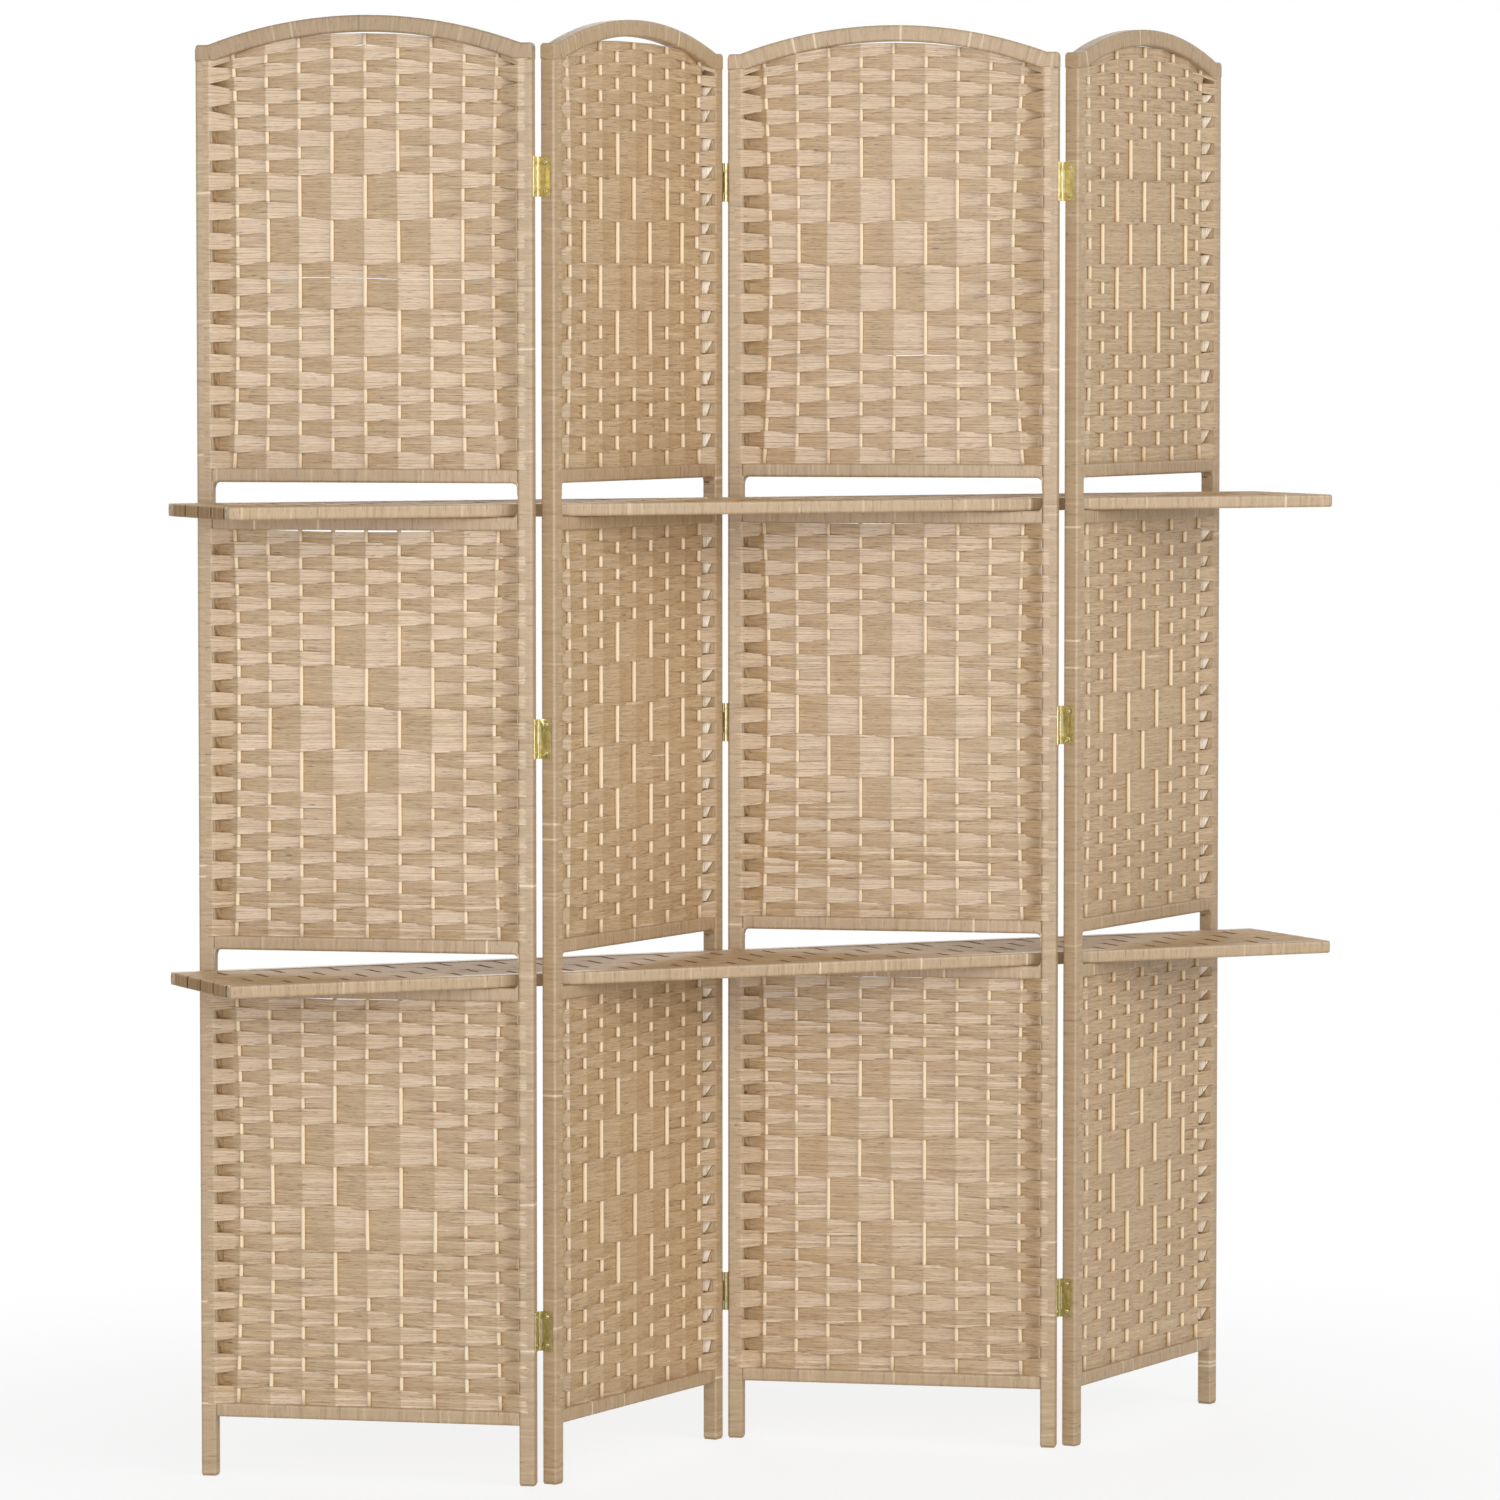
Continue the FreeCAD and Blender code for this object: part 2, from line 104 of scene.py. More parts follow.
# Lightness of rows and strands, and stretches that stand out: chance, lightness and reach
ROW_TONE = 0.05
STRAND_TONE = 0.14
STRETCHES = ((0.2, -0.45, 22), (0.09, -0.9, 12), (0.1, 0.5, 30), (0.03, 1, 45))
STRETCH_SPREAD = (0.5, 1.5)

# Waves in the lines between rows: lengths across the panel and in rows, heights
WAVE_COUNT = 6
WAVE_LENGTH = (110, 420)
WAVE_ROWS = (5, 16)
WAVE_HEIGHT = (0.2, 0.6)
LINE_SHIFT = 0.35

# Strands folded over a stile's inner face: margins, the slanting slit between them, lips and lightness; the
# slit's dark ground and the darker folds on left stiles are painted shade
PLATE_SEAT = 0.3
FOLD_FRONT = 0.9
FOLD_BACK = (1.6, 2.6)
FOLD_MARGIN = (0, 0.6)
FOLD_LEAST = 4
FOLD_FOOT = (0.15, 0.4)
FOLD_HEAD = (0.6, 0.85)
FOLD_SLIT = (0.7, 1.2)
FOLD_TILT = (0.38, 0.54)
FOLD_TONE = {-1: (-0.9, -0.3), 1: (2, 2.7)}
PLAIN_FOLD_TONE = (0.2, 0.9)
PAINTED_SLIT_SHADE = -2.8
SLIT_LIP = 0.25
FOLD_LIP = 1
PLAIN_FOLD_LIP = 0.8

# How the rows of each mat spread and the stakes bow
SWELL = {"lower": 0.16, "middle": 0.05, "upper": 0.09}
STAKE_BOW = {"lower": 4, "middle": 6, "upper": 8}
BOW_SPREAD = (0.7, 1.3)
BOW_POWER = 4
STAKE_WANDER = 1.3
PINCHED_ROWS = 6
PINCH_POWER = 2.6

# Round sticks: stakes in the mats, and sticks across the shelves
ROD_CORNERS = 10
ROD_ANGLES = np.arange(ROD_CORNERS) / ROD_CORNERS * math.tau
ROD_TONE = 0.12
STAKE_RINGS = 25
STAKE_SEAT = 2
STAKE_FULLNESS = 1.2
STAKE_UNEVEN = 0.025
STICK_RINGS = 9
STICK_SEAT = 1
STICK_UNEVEN = 0.03

# Gap between each panel's mat and the bar over it: middle across the panel, half length, height
TOP_GAPS = {
    "lower": ((-20, 150, 2), (10, 90, 1), (0, 150, 1.6), (0, 130, 2)),
    "middle": ((-5, 150, 3.2), (20, 120, 1.2), (-20, 140, 1.4), (-40, 80, 1)),
    "upper": ((10, 110, 2.6), (5, 106, 7), (8, 125, 2.4), (30, 100, 2)),
}
ROW_TUCK = 0.6

# Rows that have parted: panel, mat, line from the lower rail, from and to across the panel, width
PARTED_ROWS = (
    (1, "upper", 12, -150, 185, 1.3),
    (1, "upper", 28, -38, 36, 2.2),
    (1, "upper", 15, -150, -110, 1),
    (3, "upper", 7, -30, 90, 1.7),
    (1, "lower", 14, 40, 110, 1),
    (3, "middle", 18, 60, 140, 0.9),
    (2, "middle", 12, 10, 90, 0.9),
    (4, "lower", 17, -80, 20, 0.9),
)

# A parting keeps its width along its middle and closes at its ends
PARTED_FULL = 1.6
PARTED_POWER = 3

# Strands fanned over a stile's inner face at a slot
FAN_STRANDS = 3
FAN_STEP = (4, 6.5)
FAN_GAP = 0.5
FAN_TUCK = 0.5
FAN_LIP = 1
FAN_LIP_STEP = 0.2
FAN_TONE = 1.3
FAN_TONE_STEP = 0.5

# Arched top
ARCH_BAR = 19
ARCH_CORNER = 4
ARCH_TONE = {1: -0.9, 2: 0, 3: 0, 4: -0.2}

# Winding
TURN_PITCH = 2.5
TURN_RELIEF = 0.13
TURN_SWELL = (0.5, 1.4)
TURN_LEAN = 0.5
LEAN_LENGTH = (14, 30)
TURN_GRAIN = 37
WRAP_RADIUS = 2
SIDE_POINT = 0.7
SLOT_CORNER = 7.5
SLOT_FADE = 4

# Which side of each cross rail faces a slot, from the lowest rail up
SLOT_SIDES = (0, 1, -1, 1, -1)

# Lightness of the turns, and of paler, darker or almost white ones: chance, then how much
TURN_TONE = 0.13
GROOVE_SHADE = 0.25
PALE_TURNS = (0.05, 0.3, 1)
DARK_TURNS = (0.09, 0.2, 0.8)
WHITE_TURNS = (0.006, 1.9)

# Shelves
BANDS = 4
BAND_STRANDS = 14
BAND_SHIFT = 0.1
BAND_TONE = 0.12
BAND_OVERLAP = 0.4
# A band's dip under a stick and its sag before it; their darker tones are painted shade of these hollows
DIP = (1.2, 2.3)
DIP_EDGE = 0.4
DIP_PAINTED_SHADE = -2.4
TROUGH_EDGE = 0.25
SAG = 0.6
SAG_LENGTH = (8, 22)
SAG_PAINTED_SHADE = -0.5
DIP_GAP = 1.4
DIP_TAPER = 9
DECK_GAP = 5
# Darker tone where a band turns over the end of the shelf: painted shade of the end faces
DECK_END_PAINTED_SHADE = -1.2
SHELF_CORNER = 3

# Slow change of lightness along a deck strand
DECK_WAVE_TONE = 0.3
DECK_WAVE_LENGTH = (20, 60)
DECK_WAVE_START = (0, 6)

# Hinge leaves: width of the eased edges, and angles that count as flat, sharp and smooth
LEAF_EASE = 0.25
WELD_REACH = 1e-6
FLAT_ANGLE = 0.02
SHARP_ANGLE = 0.6
SMOOTH_ANGLE = math.radians(35)

# Screw heads: rings of the dome and the cross recess, as shares of the rim's radius
SCREW_CORNERS = 32
SCREW_RINGS = (1, 1, 0.97, 0.9, 0.8, 0.7, 0.6, 0.5, 0.4, 0.3, 0.2, 0.1, 0.03)
SCREW_SEAT = 0.9
SCREW_DOME = 0.98
RECESS_WIDTH = 0.18
RECESS_REACH = 0.62
RECESS_DEPTH = 0.35
# Darker tone in the cross recess: painted shade
RECESS_PAINTED_SHADE = -0.6

# Noises of paper and wood: scale along, across and through the grain, detail, roughness if not usual
STREAKS = ((0.035, 0.9, 1), 5, 0.65)
FIBRES = ((0.16, 3.5, 1), 3)
FLECKS = ((0.07, 0.9, 1), 2)
FIGURE = ((0.015, 1.1, 1), 4)
PORES = ((0.12, 5, 1), 2)

# Noises of sawn wood and brass: scale on each axis of the object, detail
SAWN = ((420, 420, 18), 4)
BRUSHED = ((900, 900, 60), 3)
TARNISH = ((160, 160, 160), 3)

# Paper: shares of tone and fibres, which part of the fleck noise shows, and how dark it is
RAMP_MIDDLE = 0.5
NOISE_MEAN = 0.75
PAPER_TONE = 0.16
FIBRE_SHARE = 0.5
FLECK_LEAST = 0.59
FLECK_GAIN = 11
FLECK_TONE = -0.36
FLECK_BALANCE = 0.05
PAPER_ROUGHNESS = 0.22

# Wood: shares of tone, figure and pores; brass: factor and shift of the brushed roughness
WOOD_SHARES = (0.2, 0.7, 0.25)
BRASS_ROUGHNESS = (0.25, 0.16)

# Bumps: distance in metres and strength
FINE_BUMP = (0.0002, 0.3)
SAWN_BUMP = (0.0003, 0.3)
BRUSHED_BUMP = (0.0001, 0.25)

# Light: azimuth from the front towards the left, elevation, distance, width, height and radiance
SOFTBOXES = {
    "front_softbox": (34, 5, 5.5, 4.2, 3.2, 3.1),
    "right_softbox": (-28, 20, 6, 4, 4, 2.7),
    "back_softbox": (190, 25, 6, 4, 3, 2.4),
}
AMBIENT = 0.4
LIGHT_AIM = (0, 0, 0.85)
WHITE = (1, 1, 1, 1)

# Floor: half its side in metres, its grey, and its fade to white away from the middle
FLOOR_REACH = 40
FLOOR_GREY = (0.93, 0.93, 0.93, 1)
FLOOR_FADE = {"From Min": 0.5, "From Max": 1.9, "To Min": 0.8, "To Max": 1}

# Camera, fitted to the view
IMAGE_SIZE = 1500
CAMERA_PLACE = (-3.566, -7.68, 1.347)
CAMERA_HEADING = 24.79
CAMERA_PITCH = 3.43
FOCAL_PIXELS = 7137.6
CAMERA_REACH = 200.0


# Reading the frame
def panel_place(number):
    """A panel's own frame: x across it, y to its back, z up from the floor under its middle."""
    left = sum(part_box(f"left_stile_{number}"), Vector()) / 2
    right = sum(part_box(f"right_stile_{number}"), Vector()) / 2
    middle = (left + right) / 2
    turn = math.atan2(right.y - left.y, right.x - left.x)
    return Matrix.Translation((middle.x, middle.y, 0)) @ Matrix.Rotation(turn, 4, "Z")


def shelf_place(word):
    low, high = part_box(f"{word}_shelf_winding")
    return Matrix.Translation(((low.x + high.x) / 2, (low.y + high.y) / 2, low.z))


def node_points(node, place):
    """The corners of a node in a panel's or shelf's own frame, in millimetres."""
    mesh = frame["nodes"][node].data
    points = np.empty(3 * len(mesh.vertices))
    mesh.vertices.foreach_get("co", points)
    inverse = np.array(place.inverted())
    return (points.reshape(-1, 3) @ inverse[:3, :3].T + inverse[:3, 3]) / MM


def clusters(values, gap):
    """Spans of values, each parted from the next by more than the gap."""
    values = np.sort(values)
    breaks = np.flatnonzero(np.diff(values) > gap)
    starts = values[np.append(0, breaks + 1)]
    ends = values[np.append(breaks, len(values) - 1)]
    return list(zip(starts, ends))


def middles(spans):
    return np.array([(low + high) / 2 for low, high in spans])


places = {number: panel_place(number) for number in PANELS}
shelf_places = {word: shelf_place(word) for word in SHELVES}

winding = node_points("frame_winding_1", places[1])
stile_core = node_points("left_stile_1", places[1])
rail_cores = node_points("cross_rails_1", places[1])
stake_points = node_points("stakes_1", places[1])
half_width = winding[:, 0].max()
half_depth = winding[:, 1].max()
winding_foot = winding[:, 2].min()
arch_apex = winding[:, 2].max()
wrap = stile_core[:, 0].min() - winding[:, 0].min()
stile_inner = -stile_core[:, 0].max() - wrap
rails = [(low - wrap, high + wrap) for low, high in clusters(rail_cores[:, 2], PIECE_GAP)]
rail_half_depth = rail_cores[:, 1].max() + wrap
arch_seat = node_points("arched_rail_1", places[1])[:, 2].min()
stile_top = arch_seat + ARCH_BAR
arch_rise = arch_apex - stile_top
arch_radius = (stile_inner**2 + arch_rise**2) / (2 * arch_rise)
stakes = middles(clusters(stake_points[:, 0], PIECE_GAP))
stake_radius = stake_points[:, 1].max()
mats = {
    "lower": (rails[0][1], rails[1][0]),
    "middle": (rails[2][1], rails[3][0]),
    "upper": (rails[4][1], arch_seat),
}
warps = np.hstack((-stile_inner, stakes, stile_inner))


def arch_lift(x):
    """Height of the arch over its ends at a place across the panel."""
    reach = np.minimum(np.abs(x), stile_inner)
    return np.sqrt(arch_radius**2 - reach**2) - arch_radius + arch_rise


# Meshes of closed strands
class Bundle:
    """Closed strands gathered into one mesh, each point with a tone and its place in the grain."""

    def __init__(self):
        self.points = []
        self.tones = []
        self.grains = []
        self.sides = []
        self.ends = []
        self.rounded = []
        self.count = 0

    def add(self, rings, tone, grain, rounded=True):
        """One strand or more, as an array that ends in ring, corner and coordinate.

        The corners of a ring run right-handed along the strand.
        """
        length, corners = rings.shape[-3:-1]
        index = self.count + np.arange(rings.size // 3).reshape(-1, length, corners)
        after = np.roll(index, -1, axis=2)
        sides = [index[:, :-1], after[:, :-1], after[:, 1:], index[:, 1:]]
        self.sides.append(np.stack(sides, axis=-1).reshape(-1, 4))
        self.rounded.append(np.full(len(self.sides[-1]), rounded))
        self.ends.append(index[:, 0, ::-1])
        self.ends.append(index[:, -1])
        self.points.append(rings.reshape(-1, 3))
        self.tones.append(np.broadcast_to(tone, rings.shape[:-1]).ravel())
        self.grains.append(np.broadcast_to(grain, rings.shape).reshape(-1, 3))
        self.count += index.size

    def mesh(self, name):
        mesh = bpy.data.meshes.new(name)
        faces = self.sides + self.ends
        corners = np.concatenate([face.ravel() for face in faces])
        sizes = np.concatenate([np.full(len(face), face.shape[1]) for face in faces])
        mesh.vertices.add(self.count)
        mesh.vertices.foreach_set("co", np.concatenate(self.points).ravel() * MM)
        mesh.loops.add(len(corners))
        mesh.loops.foreach_set("vertex_index", corners)
        mesh.polygons.add(len(sizes))
        mesh.polygons.foreach_set("loop_start", np.cumsum(sizes) - sizes)
        flat_ends = [np.full(len(end), False) for end in self.ends]
        mesh.polygons.foreach_set("use_smooth", np.concatenate(self.rounded + flat_ends))
        tone = mesh.attributes.new("tone", "FLOAT", "POINT")
        tone.data.foreach_set("value", np.concatenate(self.tones))
        grain = mesh.attributes.new("grain", "FLOAT_VECTOR", "POINT")
        grain.data.foreach_set("vector", np.concatenate(self.grains).ravel())
        mesh.update(calc_edges=True)
        return mesh


def joined(first, second, third):
    """Corners from three coordinates, or grain from places along and across it and a depth in the noise."""
    return np.stack(np.broadcast_arrays(first, second, third), axis=-1)


def add_rod(bundle, corners, along, radius, random):
    """A round stick, from its corners on each axis and its ring places along the grain."""
    grain = joined(along[:, None], radius * ROD_ANGLES, random.uniform(0, GRAIN_DEPTH))
    bundle.add(joined(*corners), random.normal(0, ROD_TONE), grain)


def add_object(name, data):
    """A new object in the scene."""
    thing = bpy.data.objects.new(name, data)
    bpy.context.scene.collection.objects.link(thing)
    return thing


def place_piece(name, mesh, material, place, body, slot, *nodes):
    """Puts a mesh on a body, with its finish, in place of CAD nodes."""
    piece = add_object(name, mesh)
    mesh.materials.clear()
    mesh.materials.append(material)
    piece.matrix_world = place
    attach(piece, body)
    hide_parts(*nodes)


# Woven mats
def row_turns():
    """For each row from the bottom and each warp, 1 where the row passes behind and -1 where in front.

    Plain weave with a diamond of tall cells in the middle. Rows are numbered from the top.
    """
    row = np.arange(ROW_COUNT, 0, -1)[:, None]
    warp = np.arange(len(warps))
    courses = np.abs(row - (ROW_COUNT + 1) // 2) / DIAMOND_ROW_STEP
    reach = np.abs(warp - (len(warps) - 1) / 2)
    in_diamond = np.isin(courses, range(DIAMOND_REACH)) & (reach <= DIAMOND_REACH - courses)
    behind = ((row + warp) % 2 == 0) != in_diamond
    return np.where(behind, 1.0, -1.0)


def weave_stations():
    """Places of the rings along a row, and each one's depth as a share of every warp's turn."""
    last = len(warps) - 1
    keys = [(-stile_inner - past, 0, half_depth + above) for past, above in ROW_END]
    for warp in range(1, last):
        for shift, depth in ((-SHOULDER_REACH, SHOULDER), (0, CREST), (SHOULDER_REACH, SHOULDER)):
            keys.append((warps[warp] + shift, warp, depth))
    keys += [(stile_inner + past, last, half_depth + above) for past, above in reversed(ROW_END)]
    x, warp, depth = zip(*keys)
    shares = np.zeros((len(keys), len(warps)))
    shares[range(len(keys)), warp] = depth
    return np.array(x), shares


def belly(share):
    """A rise from nothing at both ends to one in the middle."""
    return 4 * share * (1 - share)


def stake_sway(mat, random):
    """How far every warp leans from its place at shares of a mat's height: outer stakes bow inward."""
    bow = STAKE_BOW[mat] * random.uniform(*BOW_SPREAD, 2)
    phase = random.uniform(0, math.tau, len(stakes))
    size = random.normal(0, STAKE_WANDER, len(stakes))

    def sway(share):
        share = np.asarray(share)[:, None]
        side = np.where(stakes < 0, bow[0], bow[1])
        inward = -np.sign(stakes) * side * np.abs(stakes / stakes[-1]) ** BOW_POWER
        lean = belly(share) * (inward + size * np.sin(math.pi * share + phase))
        still = np.zeros((len(share), 1))
        return np.hstack((still, lean, still))

    return sway


def top_gap(panel, mat, across):
    """How far a mat's top row stays below the bar over it; negative where it is tucked behind."""
    middle, reach, size = TOP_GAPS[mat][panel - 1]
    return (size + ROW_TUCK) * np.clip(1 - ((across - middle) / reach) ** 2, 0, 1) - ROW_TUCK


def row_lines(panel, mat, across, random):
    """Heights of the lines between rows at every ring, from the lower rail up."""
    bottom, top = mats[mat]
    share = np.linspace(0, 1, ROW_COUNT + 1)[:, None]
    spread = share + SWELL[mat] * share * (1 - share)
    height = top - bottom
    lines = bottom + height * spread
    if mat == "upper":
        pinch = np.clip(1 - (1 - share) * ROW_COUNT / PINCHED_ROWS, 0, 1) ** PINCH_POWER
        lines = bottom + (height + arch_rise) * spread - (arch_rise - arch_lift(across)) * pinch
    step = np.arange(ROW_COUNT + 1)[:, None]
    for _ in range(WAVE_COUNT):
        along = across / random.uniform(*WAVE_LENGTH)
        upward = step / random.uniform(*WAVE_ROWS)
        wave = math.tau * (along + upward + random.random())
        lines = lines + random.uniform(*WAVE_HEIGHT) * belly(share) * np.sin(wave)
    lines = lines + random.normal(0, LINE_SHIFT, (ROW_COUNT + 1, 1)) * belly(share)
    lines[-1] -= top_gap(panel, mat, across)
    return lines


def pressed_lines(panel, mat, across, lines, turns):
    """The lines between rows, shifted where a row in front spreads over the row behind it."""
    press = np.zeros((ROW_COUNT + 1, len(warps)))
    press[1:-1] = (turns[1:] - turns[:-1]) / 2
    spread = np.full(press.shape, ROW_PRESS)
    spread[:, [0, -1]] = END_PRESS
    if mat == "upper":
        for end in TIGHT_ENDS[panel]:
            spread[-len(TIGHT_PRESS) :, end] = TIGHT_PRESS
    return lines + np.array([np.interp(across, warps, line) for line in press * spread])


def behind_ends(across, turns):
    """How near each ring is to a stile that its row goes behind: 0 at the last stake, 1 at the stile."""
    near_end = np.clip((np.abs(across) - stakes[-1]) / (stile_inner - stakes[-1]), 0, 1)
    end_turns = np.where(across < 0, turns[:, :1], turns[:, -1:])
    return near_end * np.maximum(end_turns, 0)


def row_edges(panel, mat, across, lines, turns):
    """Lower and upper edge of every row at every ring, with the rows that have parted."""
    gap = np.full(lines.shape, -2 * ROW_OVERLAP)
    for number, word, line, start, end, width in PARTED_ROWS:
        if (number, word) == (panel, mat):
            middle = (start + end) / 2
            reach = (end - start) / 2
            past = np.abs((across - middle) / reach) ** PARTED_POWER
            gap[line] += (width + 2 * ROW_OVERLAP) * np.clip(PARTED_FULL - PARTED_FULL * past, 0, 1)
    cover = END_COVER * behind_ends(across, turns)
    return lines[:-1] + gap[:-1] / 2 - cover, lines[1:] - gap[1:] / 2 + cover


def strand_tones(shape, across, random):
    """Lightness of each strand along its length: even, with dark and pale stretches."""
    strands = shape[:2] + (1,)
    tone = random.normal(0, STRAND_TONE, strands) + random.normal(0, ROW_TONE, (shape[0], 1, 1))
    for chance, strength, reach in STRETCHES:
        picked = random.random(strands) < chance
        centre = random.uniform(-stile_inner, stile_inner, strands)
        length = reach * random.uniform(*STRETCH_SPREAD, strands)
        tone = tone + picked * strength * np.exp(-(((across - centre) / length) ** 2))
    return tone


def strand_section():
    """Corners of a flat strand: across its thickness, and across its width as a share of the half width."""
    half = STRAND_HALF
    flat = STRAND_FLAT
    return np.array([(half, -flat), (half, flat), (0, 1), (-half, flat), (-half, -flat), (0, -1)])


def weave(panel, mat, sway, random):
    """One woven mat: rows of flat strands over and under the stakes, each end carried round a stile."""
    bundle = Bundle()
    across, shares = weave_stations()
    turns = row_turns()
    depth = turns @ shares.T
    lines = row_lines(panel, mat, across, random)
    lines = pressed_lines(panel, mat, across, lines, turns)
    low, high = row_edges(panel, mat, across, lines, turns)
    lean = sway((np.arange(ROW_COUNT) + 0.5) / ROW_COUNT)
    x = across + np.array([np.interp(across, warps, row) for row in lean])
    slot = (np.arange(ROW_STRANDS) + 0.5) / ROW_STRANDS
    middle = low[:, None] + (high - low)[:, None] * slot[:, None]
    reach = (high - low)[:, None, :] / ROW_STRANDS / 2 * STRAND_OVERLAP
    shape = middle.shape
    middle = middle + random.normal(0, STRAND_SHIFT, shape[:2] + (1,))
    face = depth[:, None] + random.normal(0, STRAND_LIFT, shape[:2] + (1,))
    section = strand_section()
    rise = reach[..., None] * section[:, 1]
    tilt = random.normal(0, STRAND_TILT, shape[:2] + (1, 1))
    y = face[..., None] + section[:, 0] + tilt * rise
    rings = joined(x[:, None, :, None], y, middle[..., None] + rise)
    tone = strand_tones(shape, across, random) + END_TONE * behind_ends(across, turns)[:, None]
    own_depth = random.uniform(0, GRAIN_DEPTH, shape[:2])[..., None, None]
    grain = joined(rings[..., 0], rise, own_depth)
    bundle.add(rings, tone[..., None], grain, rounded=False)
    add_end_folds(bundle, turns, lines, random)
    return bundle.mesh(f"{mat}_mat_{panel}")


def add_plate(bundle, corners, side, lip, tilt, tone, random):
    """A thin plate of folded paper on a stile's inner face, from its corners in depth and height.

    It stands out by the lip at its front edge, and further towards its back by the tilt.
    """
    ring = np.array(corners if side < 0 else corners[::-1])
    out = lip + tilt * (ring[:, 0] - ring[:, 0].min())
    x = side * (stile_inner - np.stack((np.full(len(ring), -PLATE_SEAT), out)))
    rings = joined(x, ring[:, 0], ring[:, 1])
    grain = joined(ring[:, 1], ring[:, 0], random.uniform(0, GRAIN_DEPTH))
    bundle.add(rings, tone, grain, rounded=False)


def add_end_folds(bundle, turns, lines, random):
    """Two folds of paper with a slit between them on a stile's inner face, where a row goes behind it, over
    a dark plate of painted shade seen in the slit.
    """
    front = -half_depth + FOLD_FRONT
    for side, warp, edge in ((-1, 0, 0), (1, len(warps) - 1, -1)):
        for row in range(ROW_COUNT):
            if turns[row, warp] < 0:
                continue
            back = half_depth - random.uniform(*FOLD_BACK)
            floor = lines[row, edge] + random.uniform(*FOLD_MARGIN)
            ceiling = lines[row + 1, edge] - random.uniform(*FOLD_MARGIN)
            foot = back - random.uniform(*FOLD_FOOT) * (back - front)
            head = back - random.uniform(*FOLD_HEAD) * (back - front)
            slit = random.uniform(*FOLD_SLIT)
            if ceiling - floor < FOLD_LEAST:
                continue
            ground = [(front, floor), (back, floor), (back, ceiling), (front, ceiling)]
            turned = [(foot, floor), (back, floor), (back, ceiling), (head, ceiling)]
            plain = [(front, floor), (foot - slit, floor), (head - slit, ceiling), (front, ceiling)]
            tilt = random.uniform(*FOLD_TILT)
            # The ground plate under the slit is dark as painted shade; FOLD_TONE makes the turned fold
            # darker on left stiles as painted shade and paler paper on right stiles
            add_plate(bundle, ground, side, SLIT_LIP, 0, PAINTED_SLIT_SHADE, random)
            add_plate(bundle, turned, side, FOLD_LIP, tilt, random.uniform(*FOLD_TONE[side]), random)
            add_plate(bundle, plain, side, PLAIN_FOLD_LIP, 0, random.uniform(*PLAIN_FOLD_TONE), random)


# Stakes
def stake_rods(panel, sways, random):
    """Round peeled sticks, slightly bowed and uneven, from rail to rail."""
    bundle = Bundle()
    share = np.linspace(0, 1, STAKE_RINGS)
    for mat, (bottom, top) in mats.items():
        lean = sways[mat](share)[:, 1:-1]
        for index, place in enumerate(stakes):
            end = top + STAKE_SEAT
            if mat == "upper":
                end = top + arch_lift(place) - top_gap(panel, mat, place)
            level = bottom - STAKE_SEAT + (end - bottom + STAKE_SEAT) * share
            radius = stake_radius * (STAKE_FULLNESS + random.normal(0, STAKE_UNEVEN, (len(share), 1)))
            x = place + lean[:, index, None] + radius * np.cos(ROD_ANGLES)
            y = radius * np.sin(ROD_ANGLES)
            add_rod(bundle, (x, y, level[:, None]), level, stake_radius, random)
    return bundle.mesh(f"stakes_{panel}")


# Winding
def rounding(past, radius):
    """How far a rounded corner draws in, at a place past the start of its curve."""
    past = np.clip(past, 0, radius)
    return radius - np.sqrt(radius**2 - past**2)


def rounded_outline(half_a, half_b, radius):
    """A rounded rectangle, counter-clockwise, with points that keep its sides flat."""
    outline = []
    for quarter, (sign_a, sign_b) in enumerate(((1, 1), (-1, 1), (-1, -1), (1, -1))):
        centre = np.array([sign_a * (half_a - radius), sign_b * (half_b - radius)])
        angles = [(quarter + part) * math.pi / 2 for part in (0, 0.5, 1)]
        spokes = [np.array([math.cos(angle), math.sin(angle)]) for angle in angles]
        corner = [centre + radius * spoke for spoke in spokes]
        outline.append(corner[0] - spokes[2] * radius * SIDE_POINT)
        outline += corner
        outline.append(corner[2] - spokes[0] * radius * SIDE_POINT)
    return np.array(outline)


def outline_length(outline):
    """Distance round an outline to each of its points."""
    steps = np.linalg.norm(np.roll(outline, -1, axis=0) - outline, axis=1)
    return np.append(0, np.cumsum(steps)[:-1])


def odd_turns(count, chance, least, most, random):
    """A change of lightness for turns picked by chance, and nothing for the others."""
    return np.where(random.random(count) < chance, random.uniform(least, most, count), 0)


def turn_levels(start, end, random):
    """Rings along a wound bar, a groove and a crest for each turn: place, relief, tone and turn number."""
    pitches = int((end - start) / TURN_PITCH)
    ring = np.arange(2 * pitches + 1)
    level = start + (end - start) / pitches / 2 * ring
    crest = ring % 2
    turn = ring // 2
    count = pitches + 1
    relief = TURN_RELIEF * np.where(crest, random.uniform(*TURN_SWELL, count)[turn], -1)
    tone = random.normal(0, TURN_TONE, count)
    tone += odd_turns(count, *PALE_TURNS, random)
    tone -= odd_turns(count, *DARK_TURNS, random)
    chance, white = WHITE_TURNS
    tone += np.where(random.random(count) < chance, white, 0)
    return level, relief, tone[turn] - GROOVE_SHADE * (1 - crest), turn


